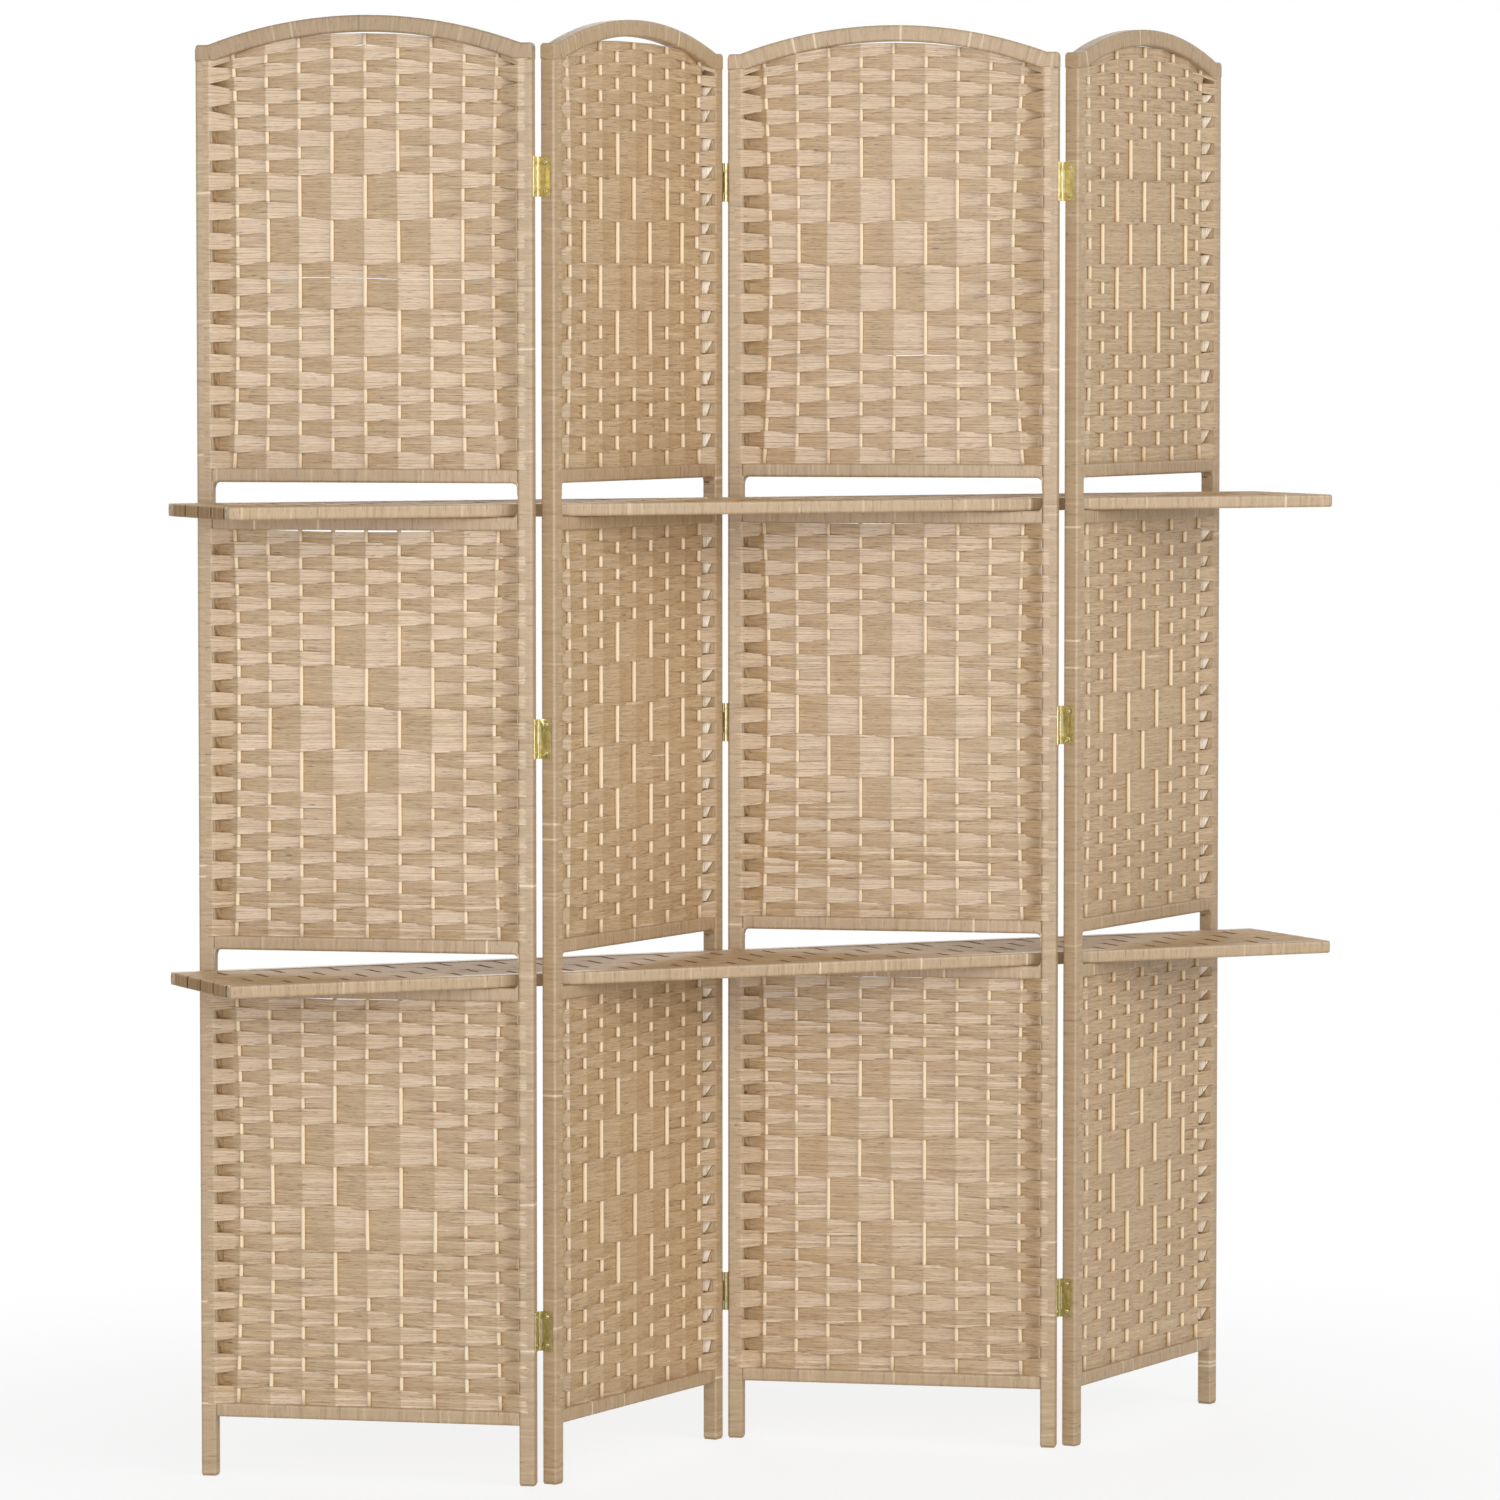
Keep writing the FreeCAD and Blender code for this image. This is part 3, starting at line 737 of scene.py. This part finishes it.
def add_wound_bar(bundle, start, end, outline, centre, along, random, shape=None, shade=0.0):
    """A wound straight bar along z or x, as one ribbed sleeve; shape may bend its rings at their levels."""
    level, relief, tone, turn = turn_levels(start, end, random)
    swollen = outline[None] * (1 + relief[:, None, None] / np.abs(outline).max())
    slow = TURN_LEAN * np.sin(level / random.uniform(*LEAN_LENGTH) + random.random())
    lean = slow[:, None] * outline[:, 0] / np.abs(outline[:, 0]).max()
    length = level[:, None] + lean
    length[0] = start
    length[-1] = end
    first = centre[0] + swollen[..., 0]
    second = centre[1] + swollen[..., 1]
    rings = joined(first, second, length) if along == "z" else joined(length, first, second)
    if shape is not None:
        shape(rings, level)
    grain = joined(outline_length(outline), level[:, None], TURN_GRAIN * turn[:, None])
    bundle.add(rings, shade + tone[:, None], grain)


def slot_corners(rings, level, slot_side, middle):
    """Rounds a rail's slot side into the stiles, where the winding of both builds up."""
    reach = stile_inner - np.abs(rings[..., 0])
    flare = rounding(SLOT_CORNER - reach, SLOT_CORNER)
    height = (rings[..., 2] - middle) * slot_side
    rings[..., 2] += slot_side * flare * np.clip(height / SLOT_FADE, 0, 1)


def arch_shape(rings, level):
    """Bends a straight bar into the arch that sits on both stile tops, its turns square to the curve."""
    x = rings[..., 0].copy()
    over = rings[..., 2].copy()
    lift = np.where(np.abs(x) <= stile_inner, arch_lift(x), 0)
    drop = rounding(np.abs(x) - (half_width - ARCH_CORNER), ARCH_CORNER)
    upper = np.clip((over - arch_seat) / ARCH_BAR, 0, 1)
    slope = x / arch_radius * np.clip((half_width - np.abs(x)) / (half_width - stile_inner), 0, 1)
    rings[..., 0] = x + (over - arch_seat - ARCH_BAR / 2) * slope
    rings[..., 2] = over + lift - drop * upper


def add_slot_fans(bundle, random):
    """Strands of the rail's winding, fanned over the stiles' inner faces in the slots' upper corners."""
    front = -half_depth + FOLD_FRONT
    back = half_depth - FOLD_FRONT
    for low in (rails[2][0], rails[4][0]):
        top = low + FAN_TUCK
        for side in (-1, 1):
            drops = np.append(0.0, np.cumsum(random.uniform(*FAN_STEP, FAN_STRANDS)))
            for strand in range(FAN_STRANDS):
                foot = top - drops[strand + 1] + FAN_GAP
                corners = [(front, foot), (back, top), (front, top - drops[strand])]
                lip = FAN_LIP - FAN_LIP_STEP * strand
                add_plate(bundle, corners, side, lip, 0, FAN_TONE - FAN_TONE_STEP * strand, random)


def frame_winding(panel, random):
    """Paper cord wound close on both stiles, the five cross rails and the arch."""
    bundle = Bundle()
    stile_half = (half_width - stile_inner) / 2
    stile = rounded_outline(stile_half, half_depth, WRAP_RADIUS)
    for side in (-1, 1):
        centre = (side * (half_width - stile_half), 0)
        add_wound_bar(bundle, winding_foot, arch_seat, stile, centre, "z", random)
    for (low, high), slot_side in zip(rails, SLOT_SIDES):
        rail = rounded_outline(rail_half_depth, (high - low) / 2, WRAP_RADIUS)
        middle = (low + high) / 2
        flare = partial(slot_corners, slot_side=slot_side, middle=middle)
        add_wound_bar(bundle, -stile_inner, stile_inner, rail, (0, middle), "x", random, flare)
    arch = rounded_outline(half_depth, ARCH_BAR / 2, WRAP_RADIUS)
    arch_middle = arch_seat + ARCH_BAR / 2
    add_wound_bar(
        bundle, -half_width, half_width, arch, (0, arch_middle), "x", random, arch_shape, ARCH_TONE[panel]
    )
    add_slot_fans(bundle, random)
    return bundle.mesh(f"winding_{panel}")


# Shelves
def shelf_sizes(word):
    """Sizes of a shelf, and the places of its sticks, in its own frame."""
    place = shelf_places[word]
    outside = node_points(f"{word}_shelf_winding", place)
    sticks = node_points(f"{word}_shelf_sticks", place)
    deck = node_points(f"{word}_shelf_deck", place)
    half_length, half_shelf, thickness = outside.max(axis=0)
    return {
        "half_length": half_length,
        "half_depth": half_shelf,
        "thickness": thickness,
        "rail": half_length - deck[:, 0].max(),
        "sticks": middles(clusters(sticks[:, 0], PIECE_GAP)),
        "level": (sticks[:, 2].min() + sticks[:, 2].max()) / 2,
        "stick_radius": (sticks[:, 2].max() - sticks[:, 2].min()) / 2,
    }


def ease_ends(rings, level, centre, half_length):
    """Rounds the ends of a wound bar along x."""
    inset = rounding(np.abs(level) - (half_length - SHELF_CORNER), SHELF_CORNER)
    for axis, middle in ((1, centre[0]), (2, centre[1])):
        offset = rings[..., axis] - middle
        rings[..., axis] = middle + np.sign(offset) * np.maximum(np.abs(offset) - inset[:, None], 0)


def shelf_winding(word, size, random):
    """The two long rails of a shelf, wound close with upright turns."""
    bundle = Bundle()
    half_length = size["half_length"]
    outline = rounded_outline(size["rail"] / 2, size["thickness"] / 2, WRAP_RADIUS)
    for side in (-1, 1):
        centre = (side * (size["half_depth"] - size["rail"] / 2), size["thickness"] / 2)
        ease = partial(ease_ends, centre=centre, half_length=half_length)
        add_wound_bar(bundle, -half_length, half_length, outline, centre, "x", random, ease)
    return bundle.mesh(f"{word}_shelf_cord")


def deck_line(size, band, random):
    """One deck band's line: along the underside, round an end rail, over and under the sticks, and back.

    Every point has its place and height, the gap there to the next band, and its tone, darkened as painted
    shade in the dips, the sags and round the end rails.
    """
    inset = wrap / 2
    top = size["thickness"] - inset
    end = size["half_length"] - inset
    rim = WRAP_RADIUS
    cut = rim * (1 - math.sqrt(0.5))
    close = -BAND_OVERLAP
    # The band's turn round the end rail is darkened as painted shade
    round_end = [
        (0, inset, close, 0),
        (end - rim, inset, DECK_GAP, 0),
        (end - cut, inset + cut, DECK_GAP, DECK_END_PAINTED_SHADE),
        (end, inset + rim, DECK_GAP, DECK_END_PAINTED_SHADE),
        (end, top - rim, DECK_GAP, DECK_END_PAINTED_SHADE),
        (end - cut, top - cut, DECK_GAP, 0),
        (end - rim, top, DECK_GAP, 0),
        (end - size["rail"] + 2 * inset, top, DECK_GAP, 0),
    ]
    line = [(-x, *rest) for x, *rest in round_end]
    radius = size["stick_radius"]
    crest = size["level"] + radius + STRAND_HALF
    trough = 2 * size["level"] - crest
    for index, x in enumerate(size["sticks"]):
        if (index + band) % 2 == 0:
            line.append((x, crest, close, 0))
            continue
        before, after = random.uniform(*DIP, 2)
        line += [
            # The sag and the dip take darker tones as painted shade of the hollow
            (x - random.uniform(*SAG_LENGTH), crest, close, 0),
            (x - before - DIP_EDGE, crest - SAG, DIP_GAP, SAG_PAINTED_SHADE),
            (x - before, crest - SAG - DIP_EDGE, DIP_GAP, DIP_PAINTED_SHADE),
            (x - radius, trough + TROUGH_EDGE, DIP_GAP, DIP_PAINTED_SHADE),
            (x, trough, DIP_GAP, DIP_PAINTED_SHADE),
            (x + radius, trough + TROUGH_EDGE, DIP_GAP, DIP_PAINTED_SHADE),
            (x + after, crest - DIP_EDGE, DIP_GAP, DIP_PAINTED_SHADE),
            (x + after + DIP_EDGE, crest, DIP_GAP, 0),
            (x + after + DIP_TAPER, crest, close, 0),
        ]
    line += round_end[::-1]
    return np.array(line).T


def shelf_deck(word, size, random):
    """Wide bands of paper strands along the shelf, woven over and under its sticks."""
    bundle = Bundle()
    clear = size["half_depth"] - size["rail"]
    pitch = 2 * clear / BANDS
    section = strand_section()
    width = (pitch + BAND_OVERLAP) / BAND_STRANDS
    for band in range(BANDS):
        along, height, gap, shade = deck_line(size, band, random)
        steps = np.diff(np.stack((along, height), axis=1), axis=0)
        steps /= np.linalg.norm(steps, axis=1, keepdims=True)
        ahead = np.vstack((steps[:1], steps[:-1] + steps[1:], steps[-1:]))
        ahead /= np.linalg.norm(ahead, axis=1, keepdims=True)
        drawn_in = ((pitch - gap) / (pitch + BAND_OVERLAP))[:, None]
        centre = -clear + (band + 0.5) * pitch
        for strand in range(BAND_STRANDS):
            middle = (strand + 0.5 - BAND_STRANDS / 2) * width + random.normal(0, BAND_SHIFT)
            outward = section[:, 0] + random.normal(0, STRAND_LIFT)
            x = along[:, None] - ahead[:, 1:] * outward
            y = centre + (middle - section[:, 1] * width / 2 * STRAND_OVERLAP) * drawn_in
            rings = joined(x, y, height[:, None] + ahead[:, :1] * outward)
            grain = joined(x, y, random.uniform(0, GRAIN_DEPTH))
            tone = shade + random.normal(0, BAND_TONE)
            wave = along / random.uniform(*DECK_WAVE_LENGTH) + random.uniform(*DECK_WAVE_START)
            tone += DECK_WAVE_TONE * np.sin(wave)
            bundle.add(rings, tone[:, None], grain, rounded=False)
    return bundle.mesh(f"{word}_shelf_bands")


def shelf_sticks(word, size, random):
    """Round sticks across the shelf, seated in its long rails."""
    bundle = Bundle()
    reach = np.linspace(-1, 1, STICK_RINGS) * (size["half_depth"] - size["rail"] + STICK_SEAT)
    for middle in size["sticks"]:
        radius = size["stick_radius"] * (1 + random.normal(0, STICK_UNEVEN, (len(reach), 1)))
        x = middle - radius * np.cos(ROD_ANGLES)
        z = size["level"] + radius * np.sin(ROD_ANGLES)
        add_rod(bundle, (x, reach[:, None], z), reach, size["stick_radius"], random)
    return bundle.mesh(f"{word}_shelf_rods")


# Hinges
def eased_copy(node):
    """A copy of a stamped part's mesh with its sharp edges eased."""
    mesh = frame["nodes"][node].data.copy()
    work = bmesh.new()
    work.from_mesh(mesh)
    bmesh.ops.remove_doubles(work, verts=work.verts, dist=WELD_REACH)
    bmesh.ops.dissolve_limit(work, angle_limit=FLAT_ANGLE, verts=work.verts, edges=work.edges)
    sharp = [edge for edge in work.edges if edge.is_manifold and edge.calc_face_angle() > SHARP_ANGLE]
    bmesh.ops.bevel(work, geom=sharp, offset=LEAF_EASE * MM, segments=1, affect="EDGES", clamp_overlap=True)
    work.to_mesh(mesh)
    work.free()
    mesh.shade_smooth()
    mesh.set_sharp_from_angle(angle=SMOOTH_ANGLE)
    return mesh


def screw_heads(panel):
    """Domed screw heads with a cross recess, on the hinge leaves of one panel."""
    bundle = Bundle()
    points = node_points(f"hinge_screws_{panel}", places[panel])
    angle = np.arange(SCREW_CORNERS) / SCREW_CORNERS * math.tau
    share = np.array(SCREW_RINGS)
    seat = half_width + SCREW_SEAT
    for side in (-1, 1):
        near = points[points[:, 0] * side > 0]
        if not len(near):
            continue
        crown = np.abs(near[:, 0]).max()
        height = (crown - seat) * np.sqrt(1 - share**2 * SCREW_DOME)
        height[0] = 0
        for low, high in clusters(near[:, 2], SCREW_GAP):
            own = near[(near[:, 2] >= low) & (near[:, 2] <= high)]
            rim = (high - low) / 2
            radius = rim * share
            u = radius[:, None] * np.cos(angle)
            v = radius[:, None] * np.sin(angle)
            narrow = np.minimum(np.abs(u), np.abs(v)) < RECESS_WIDTH * rim
            recess = narrow & (np.maximum(np.abs(u), np.abs(v)) < RECESS_REACH * rim)
            x = side * (seat + height[:, None] - RECESS_DEPTH * rim * recess)
            y = (own[:, 1].min() + own[:, 1].max()) / 2 + u * side
            # The recess is darkened by painted shade as well as cut in
            bundle.add(joined(x, y, (low + high) / 2 + v), RECESS_PAINTED_SHADE * recess, np.zeros(3))
    return bundle.mesh(f"screw_heads_{panel}")


# Materials
def preset(node, values):
    """Sets values of a node's inputs, by name or number."""
    for key, value in values.items():
        node.inputs[key].default_value = value


class Nodes:
    """A node tree under construction."""

    def __init__(self, tree):
        self.tree = tree

    def node(self, kind, values=None, **settings):
        """A new node with its settings and the values of its inputs."""
        node = self.tree.nodes.new(kind)
        for key, value in settings.items():
            setattr(node, key, value)
        preset(node, values or {})
        return node

    def feed(self, source, target):
        self.tree.links.new(source, target)

    def maths(self, operation, first, second):
        node = self.node("ShaderNodeMath", operation=operation)
        self.feed(first, node.inputs[0])
        self.feed(second, node.inputs[1])
        return node.outputs["Value"]


class Surface(Nodes):
    """A material under construction, from the values of its shader."""

    def __init__(self, name, roughness, specular, **others):
        self.material = bpy.data.materials.new(name)
        self.material.use_nodes = True
        super().__init__(self.material.node_tree)
        self.shader = self.tree.nodes["Principled BSDF"]
        preset(self.shader, {"Roughness": roughness, "Specular IOR Level": specular, **others})

    def attributes(self):
        """The grain and the tone of the mesh."""
        grain = self.node("ShaderNodeAttribute", attribute_name="grain")
        tone = self.node("ShaderNodeAttribute", attribute_name="tone")
        return grain.outputs["Vector"], tone.outputs["Fac"]

    def noise(self, vector, scale, detail, roughness=0.6):
        """Noise stretched by a different scale on each axis."""
        mapping = self.node("ShaderNodeMapping", {"Scale": scale})
        self.feed(vector, mapping.inputs["Vector"])
        noise = self.node("ShaderNodeTexNoise", {"Scale": 1.0, "Detail": detail, "Roughness": roughness})
        self.feed(mapping.outputs["Vector"], noise.inputs["Vector"])
        return noise.outputs["Fac"]

    def scaled(self, value, factor, shift=0.0, **settings):
        """The value times a factor plus a shift."""
        node = self.node("ShaderNodeMath", {1: factor, 2: shift}, operation="MULTIPLY_ADD", **settings)
        self.feed(value, node.inputs[0])
        return node.outputs["Value"]

    def blend(self, first, *others):
        """The sum of values, each with its factor and perhaps a shift."""
        value = self.scaled(*first)
        for other in others:
            value = self.maths("ADD", value, self.scaled(*other))
        return value

    def colour(self, value, stops):
        ramp = self.node("ShaderNodeValToRGB")
        elements = ramp.color_ramp.elements
        while len(elements) < len(stops):
            elements.new(0.5)
        for element, (position, colour) in zip(elements, stops):
            element.position = position
            element.color = (*colour, 1)
        self.feed(value, ramp.inputs["Fac"])
        self.feed(ramp.outputs["Color"], self.shader.inputs["Base Color"])

    def roughen(self, value, factor, shift):
        self.feed(self.scaled(value, factor, shift), self.shader.inputs["Roughness"])

    def bump(self, height, distance, strength):
        bump = self.node("ShaderNodeBump", {"Distance": distance, "Strength": strength})
        self.feed(height, bump.inputs["Height"])
        self.feed(bump.outputs["Normal"], self.shader.inputs["Normal"])


def paper_surface(name, stops, streak, roughness, specular, refraction):
    """Twisted paper: streaks, fibres and dark flecks along each strand."""
    surface = Surface(name, roughness, specular, IOR=refraction)
    grain, tone = surface.attributes()
    fibres = surface.noise(grain, *FIBRES)
    flecks = surface.noise(grain, *FLECKS)
    flecks = surface.scaled(flecks, FLECK_GAIN, -FLECK_GAIN * FLECK_LEAST, use_clamp=True)
    value = surface.blend(
        (tone, PAPER_TONE, RAMP_MIDDLE - streak * NOISE_MEAN),
        (surface.noise(grain, *STREAKS), streak),
        (fibres, streak * FIBRE_SHARE),
        (flecks, FLECK_TONE, FLECK_BALANCE),
    )
    surface.colour(value, stops)
    surface.roughen(fibres, PAPER_ROUGHNESS, roughness - PAPER_ROUGHNESS / 2)
    surface.bump(fibres, *FINE_BUMP)
    return surface.material


def wood_surface(name, stops, roughness, specular):
    """Straight-grained wood, with the grain along the piece's own length."""
    surface = Surface(name, roughness, specular)
    grain, tone = surface.attributes()
    figure = surface.noise(grain, *FIGURE)
    pores = surface.noise(grain, *PORES)
    surface.colour(surface.blend(*zip((tone, figure, pores), WOOD_SHARES)), stops)
    surface.bump(pores, *FINE_BUMP)
    return surface.material


def core_surface(name, stops, roughness, specular):
    """Sawn wood under the winding, seen at the feet and through gaps."""
    surface = Surface(name, roughness, specular)
    rings = surface.noise(surface.node("ShaderNodeTexCoord").outputs["Object"], *SAWN)
    surface.colour(rings, stops)
    surface.bump(rings, *SAWN_BUMP)
    return surface.material


def brass_surface(name, stops, roughness, specular):
    """Bright plated metal with a brushed grain and faint tarnish."""
    surface = Surface(name, roughness, specular, Metallic=1.0)
    place = surface.node("ShaderNodeTexCoord").outputs["Object"]
    brushed = surface.noise(place, *BRUSHED)
    surface.colour(surface.noise(place, *TARNISH), stops)
    surface.roughen(brushed, *BRASS_ROUGHNESS)
    surface.bump(brushed, *BRUSHED_BUMP)
    return surface.material


def make_materials():
    paper_stops = (
        (0.1, (0.13, 0.068, 0.025)),
        (0.36, (0.345, 0.211, 0.092)),
        (0.5, (0.45, 0.293, 0.14)),
        (0.66, (0.555, 0.39, 0.215)),
        (0.9, (0.8, 0.65, 0.46)),
        (1.00, (0.94, 0.83, 0.69)),
    )
    winding_stops = (
        (0.1, (0.15, 0.09, 0.042)),
        (0.36, (0.35, 0.23, 0.116)),
        (0.5, (0.44, 0.302, 0.165)),
        (0.66, (0.54, 0.39, 0.235)),
        (0.9, (0.8, 0.66, 0.47)),
    )
    stake_stops = ((0.15, (0.8, 0.61, 0.38)), (0.55, (0.91, 0.76, 0.54)), (0.9, (0.95, 0.84, 0.67)))
    # Shelf sticks and shelf frame cores are near black: painted shade of the dips and gaps where they show
    painted_shade_rod_stops = ((0.15, (0.05, 0.028, 0.013)), (0.55, (0.09, 0.053, 0.026)), (0.9, (0.15, 0.095, 0.05)))
    core_stops = ((0.25, (0.33, 0.22, 0.12)), (0.75, (0.5, 0.36, 0.21)))
    brass_stops = ((0.3, (0.4, 0.33, 0.15)), (0.7, (0.63, 0.55, 0.3)))
    # Each with its roughness and specular level; for paper, streaks before these and refraction after
    return {
        "weave": paper_surface("woven_paper", paper_stops, 0.9, 0.42, 1.0, 1.68),
        "winding": paper_surface("wound_paper", winding_stops, 0.6, 0.45, 0.9, 1.55),
        "deck": paper_surface("deck_paper", paper_stops, 0.75, 0.6, 0.4, 1.5),
        "stake": wood_surface("peeled_stick", stake_stops, 0.6, 0.4),
        "rod": wood_surface("shelf_stick", painted_shade_rod_stops, 0.85, 0.1),
        "core": core_surface("frame_core", core_stops, 0.7, 0.3),
        "painted_shade_core": core_surface("shelf_core_painted_shade", painted_shade_rod_stops, 0.7, 0.3),
        "brass": brass_surface("plated_brass", brass_stops, 0.3, 0.5),
    }


# Building the screen
def build_panel(panel, materials):
    random = np.random.default_rng(PANEL_SEED + panel)
    place = places[panel]
    body = f"panel_{panel}"

    def put(name, mesh, finish, slot, node):
        place_piece(f"{name}_{panel}", mesh, materials[finish], place, body, slot, f"{node}_{panel}")

    sways = {mat: stake_sway(mat, random) for mat in mats}
    for mat in mats:
        put(f"{mat}_mat", weave(panel, mat, sways[mat], random), "weave", "paper_weave", f"{mat}_weave")
    put("rods", stake_rods(panel, sways, random), "stake", "stake_wood", "stakes")
    put("cord", frame_winding(panel, random), "winding", "paper_winding", "frame_winding")
    put("screws", screw_heads(panel), "brass", "brass", "hinge_screws")


def build_shelf(word, materials):
    random = np.random.default_rng(SHELF_SEED + SHELVES.index(word))
    place = shelf_places[word]
    body = f"{word}_shelf"
    size = shelf_sizes(word)

    def put(name, mesh, finish, slot, node):
        place_piece(f"{body}_{name}", mesh, materials[finish], place, body, slot, f"{body}_{node}")

    put("cord", shelf_winding(word, size, random), "winding", "paper_winding", "winding")
    put("bands", shelf_deck(word, size, random), "deck", "paper_weave", "deck")
    put("rods", shelf_sticks(word, size, random), "rod", "stake_wood", "sticks")


def build_hinges(materials):
    for node in frame["nodes"]:
        if node.endswith("_leaves"):
            body = frame["nodes"][node]["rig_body"]
            mesh = eased_copy(node)
            place_piece(f"{node}_eased", mesh, materials["brass"], Matrix.Identity(4), body, "brass", node)


def finish_cad_nodes(materials):
    """Gives the wood under the winding and the hinge pins their own finish, and the shelf frames a near
    black one as painted shade in the gaps.
    """
    for name, node in frame["nodes"].items():
        material = materials["core"]
        if name.endswith("_pins"):
            material = materials["brass"]
        # The shelf frames take the near black painted shade of the gaps
        elif name.endswith("_shelf_frame"):
            material = materials["painted_shade_core"]
        node.data.materials.clear()
        node.data.materials.append(material)


# Stage, light and camera
def make_floor():
    """A pale floor that keeps the object's shadow and fades to white away from it."""
    mesh = bpy.data.meshes.new("floor")
    corners = [(FLOOR_REACH * x, FLOOR_REACH * y, 0) for x, y in ((-1, -1), (1, -1), (1, 1), (-1, 1))]
    mesh.from_pydata(corners, [], [(0, 1, 2, 3)])
    floor = add_object("floor", mesh)
    material = bpy.data.materials.new("pale_floor")
    material.use_nodes = True
    material.node_tree.nodes.clear()
    nodes = Nodes(material.node_tree)
    output = nodes.node("ShaderNodeOutputMaterial")
    mix = nodes.node("ShaderNodeMixShader")
    matt = nodes.node("ShaderNodeBsdfDiffuse", {"Color": FLOOR_GREY})
    white = nodes.node("ShaderNodeEmission", {"Color": WHITE})
    geometry = nodes.node("ShaderNodeNewGeometry")
    length = nodes.node("ShaderNodeVectorMath", operation="LENGTH")
    fade = nodes.node("ShaderNodeMapRange", FLOOR_FADE, interpolation_type="SMOOTHSTEP")
    path = nodes.node("ShaderNodeLightPath")
    nodes.feed(geometry.outputs["Position"], length.inputs[0])
    nodes.feed(length.outputs["Value"], fade.inputs["Value"])
    seen = nodes.maths("MULTIPLY", fade.outputs["Result"], path.outputs["Is Camera Ray"])
    nodes.feed(seen, mix.inputs["Fac"])
    nodes.feed(matt.outputs["BSDF"], mix.inputs[1])
    nodes.feed(white.outputs["Emission"], mix.inputs[2])
    nodes.feed(mix.outputs["Shader"], output.inputs["Surface"])
    mesh.materials.append(material)


def make_world():
    """Even light from all round, seen as white by the camera and in gloss."""
    world = bpy.data.worlds.new("studio")
    bpy.context.scene.world = world
    world.use_nodes = True
    nodes = Nodes(world.node_tree)
    background = nodes.tree.nodes["Background"]
    preset(background, {"Color": WHITE})
    path = nodes.node("ShaderNodeLightPath")
    seen = nodes.maths("ADD", path.outputs["Is Camera Ray"], path.outputs["Is Glossy Ray"])
    level = nodes.node("ShaderNodeMapRange", {"To Min": AMBIENT, "To Max": 1.0})
    nodes.feed(seen, level.inputs["Value"])
    nodes.feed(level.outputs["Result"], background.inputs["Strength"])


def make_softbox(name, azimuth, elevation, distance, width, height, radiance):
    """A soft light facing the object."""
    light = bpy.data.lights.new(name, "AREA")
    light.shape = "RECTANGLE"
    light.size = width
    light.size_y = height
    light.energy = radiance * math.pi * width * height
    lamp = add_object(name, light)
    turn = math.radians(azimuth)
    rise = math.radians(elevation)
    out = Vector((-math.sin(turn) * math.cos(rise), -math.cos(turn) * math.cos(rise), math.sin(rise)))
    lamp.location = Vector(LIGHT_AIM) + distance * out
    lamp.rotation_euler = (-out).to_track_quat("-Z", "Y").to_euler()
    lamp.visible_camera = False


def make_camera():
    data = bpy.data.cameras.new("camera")
    data.lens = data.sensor_width * FOCAL_PIXELS / IMAGE_SIZE
    data.clip_end = CAMERA_REACH
    camera = add_object("camera", data)
    camera.location = CAMERA_PLACE
    camera.rotation_euler = (math.radians(90 - CAMERA_PITCH), 0, -math.radians(CAMERA_HEADING))
    bpy.context.scene.camera = camera


materials = make_materials()
finish_cad_nodes(materials)
for number in PANELS:
    build_panel(number, materials)
for shelf in SHELVES:
    build_shelf(shelf, materials)
build_hinges(materials)

make_floor()
make_world()
for name, setting in SOFTBOXES.items():
    make_softbox(name, *setting)
make_camera()
bpy.context.scene.view_settings.view_transform = "Standard"
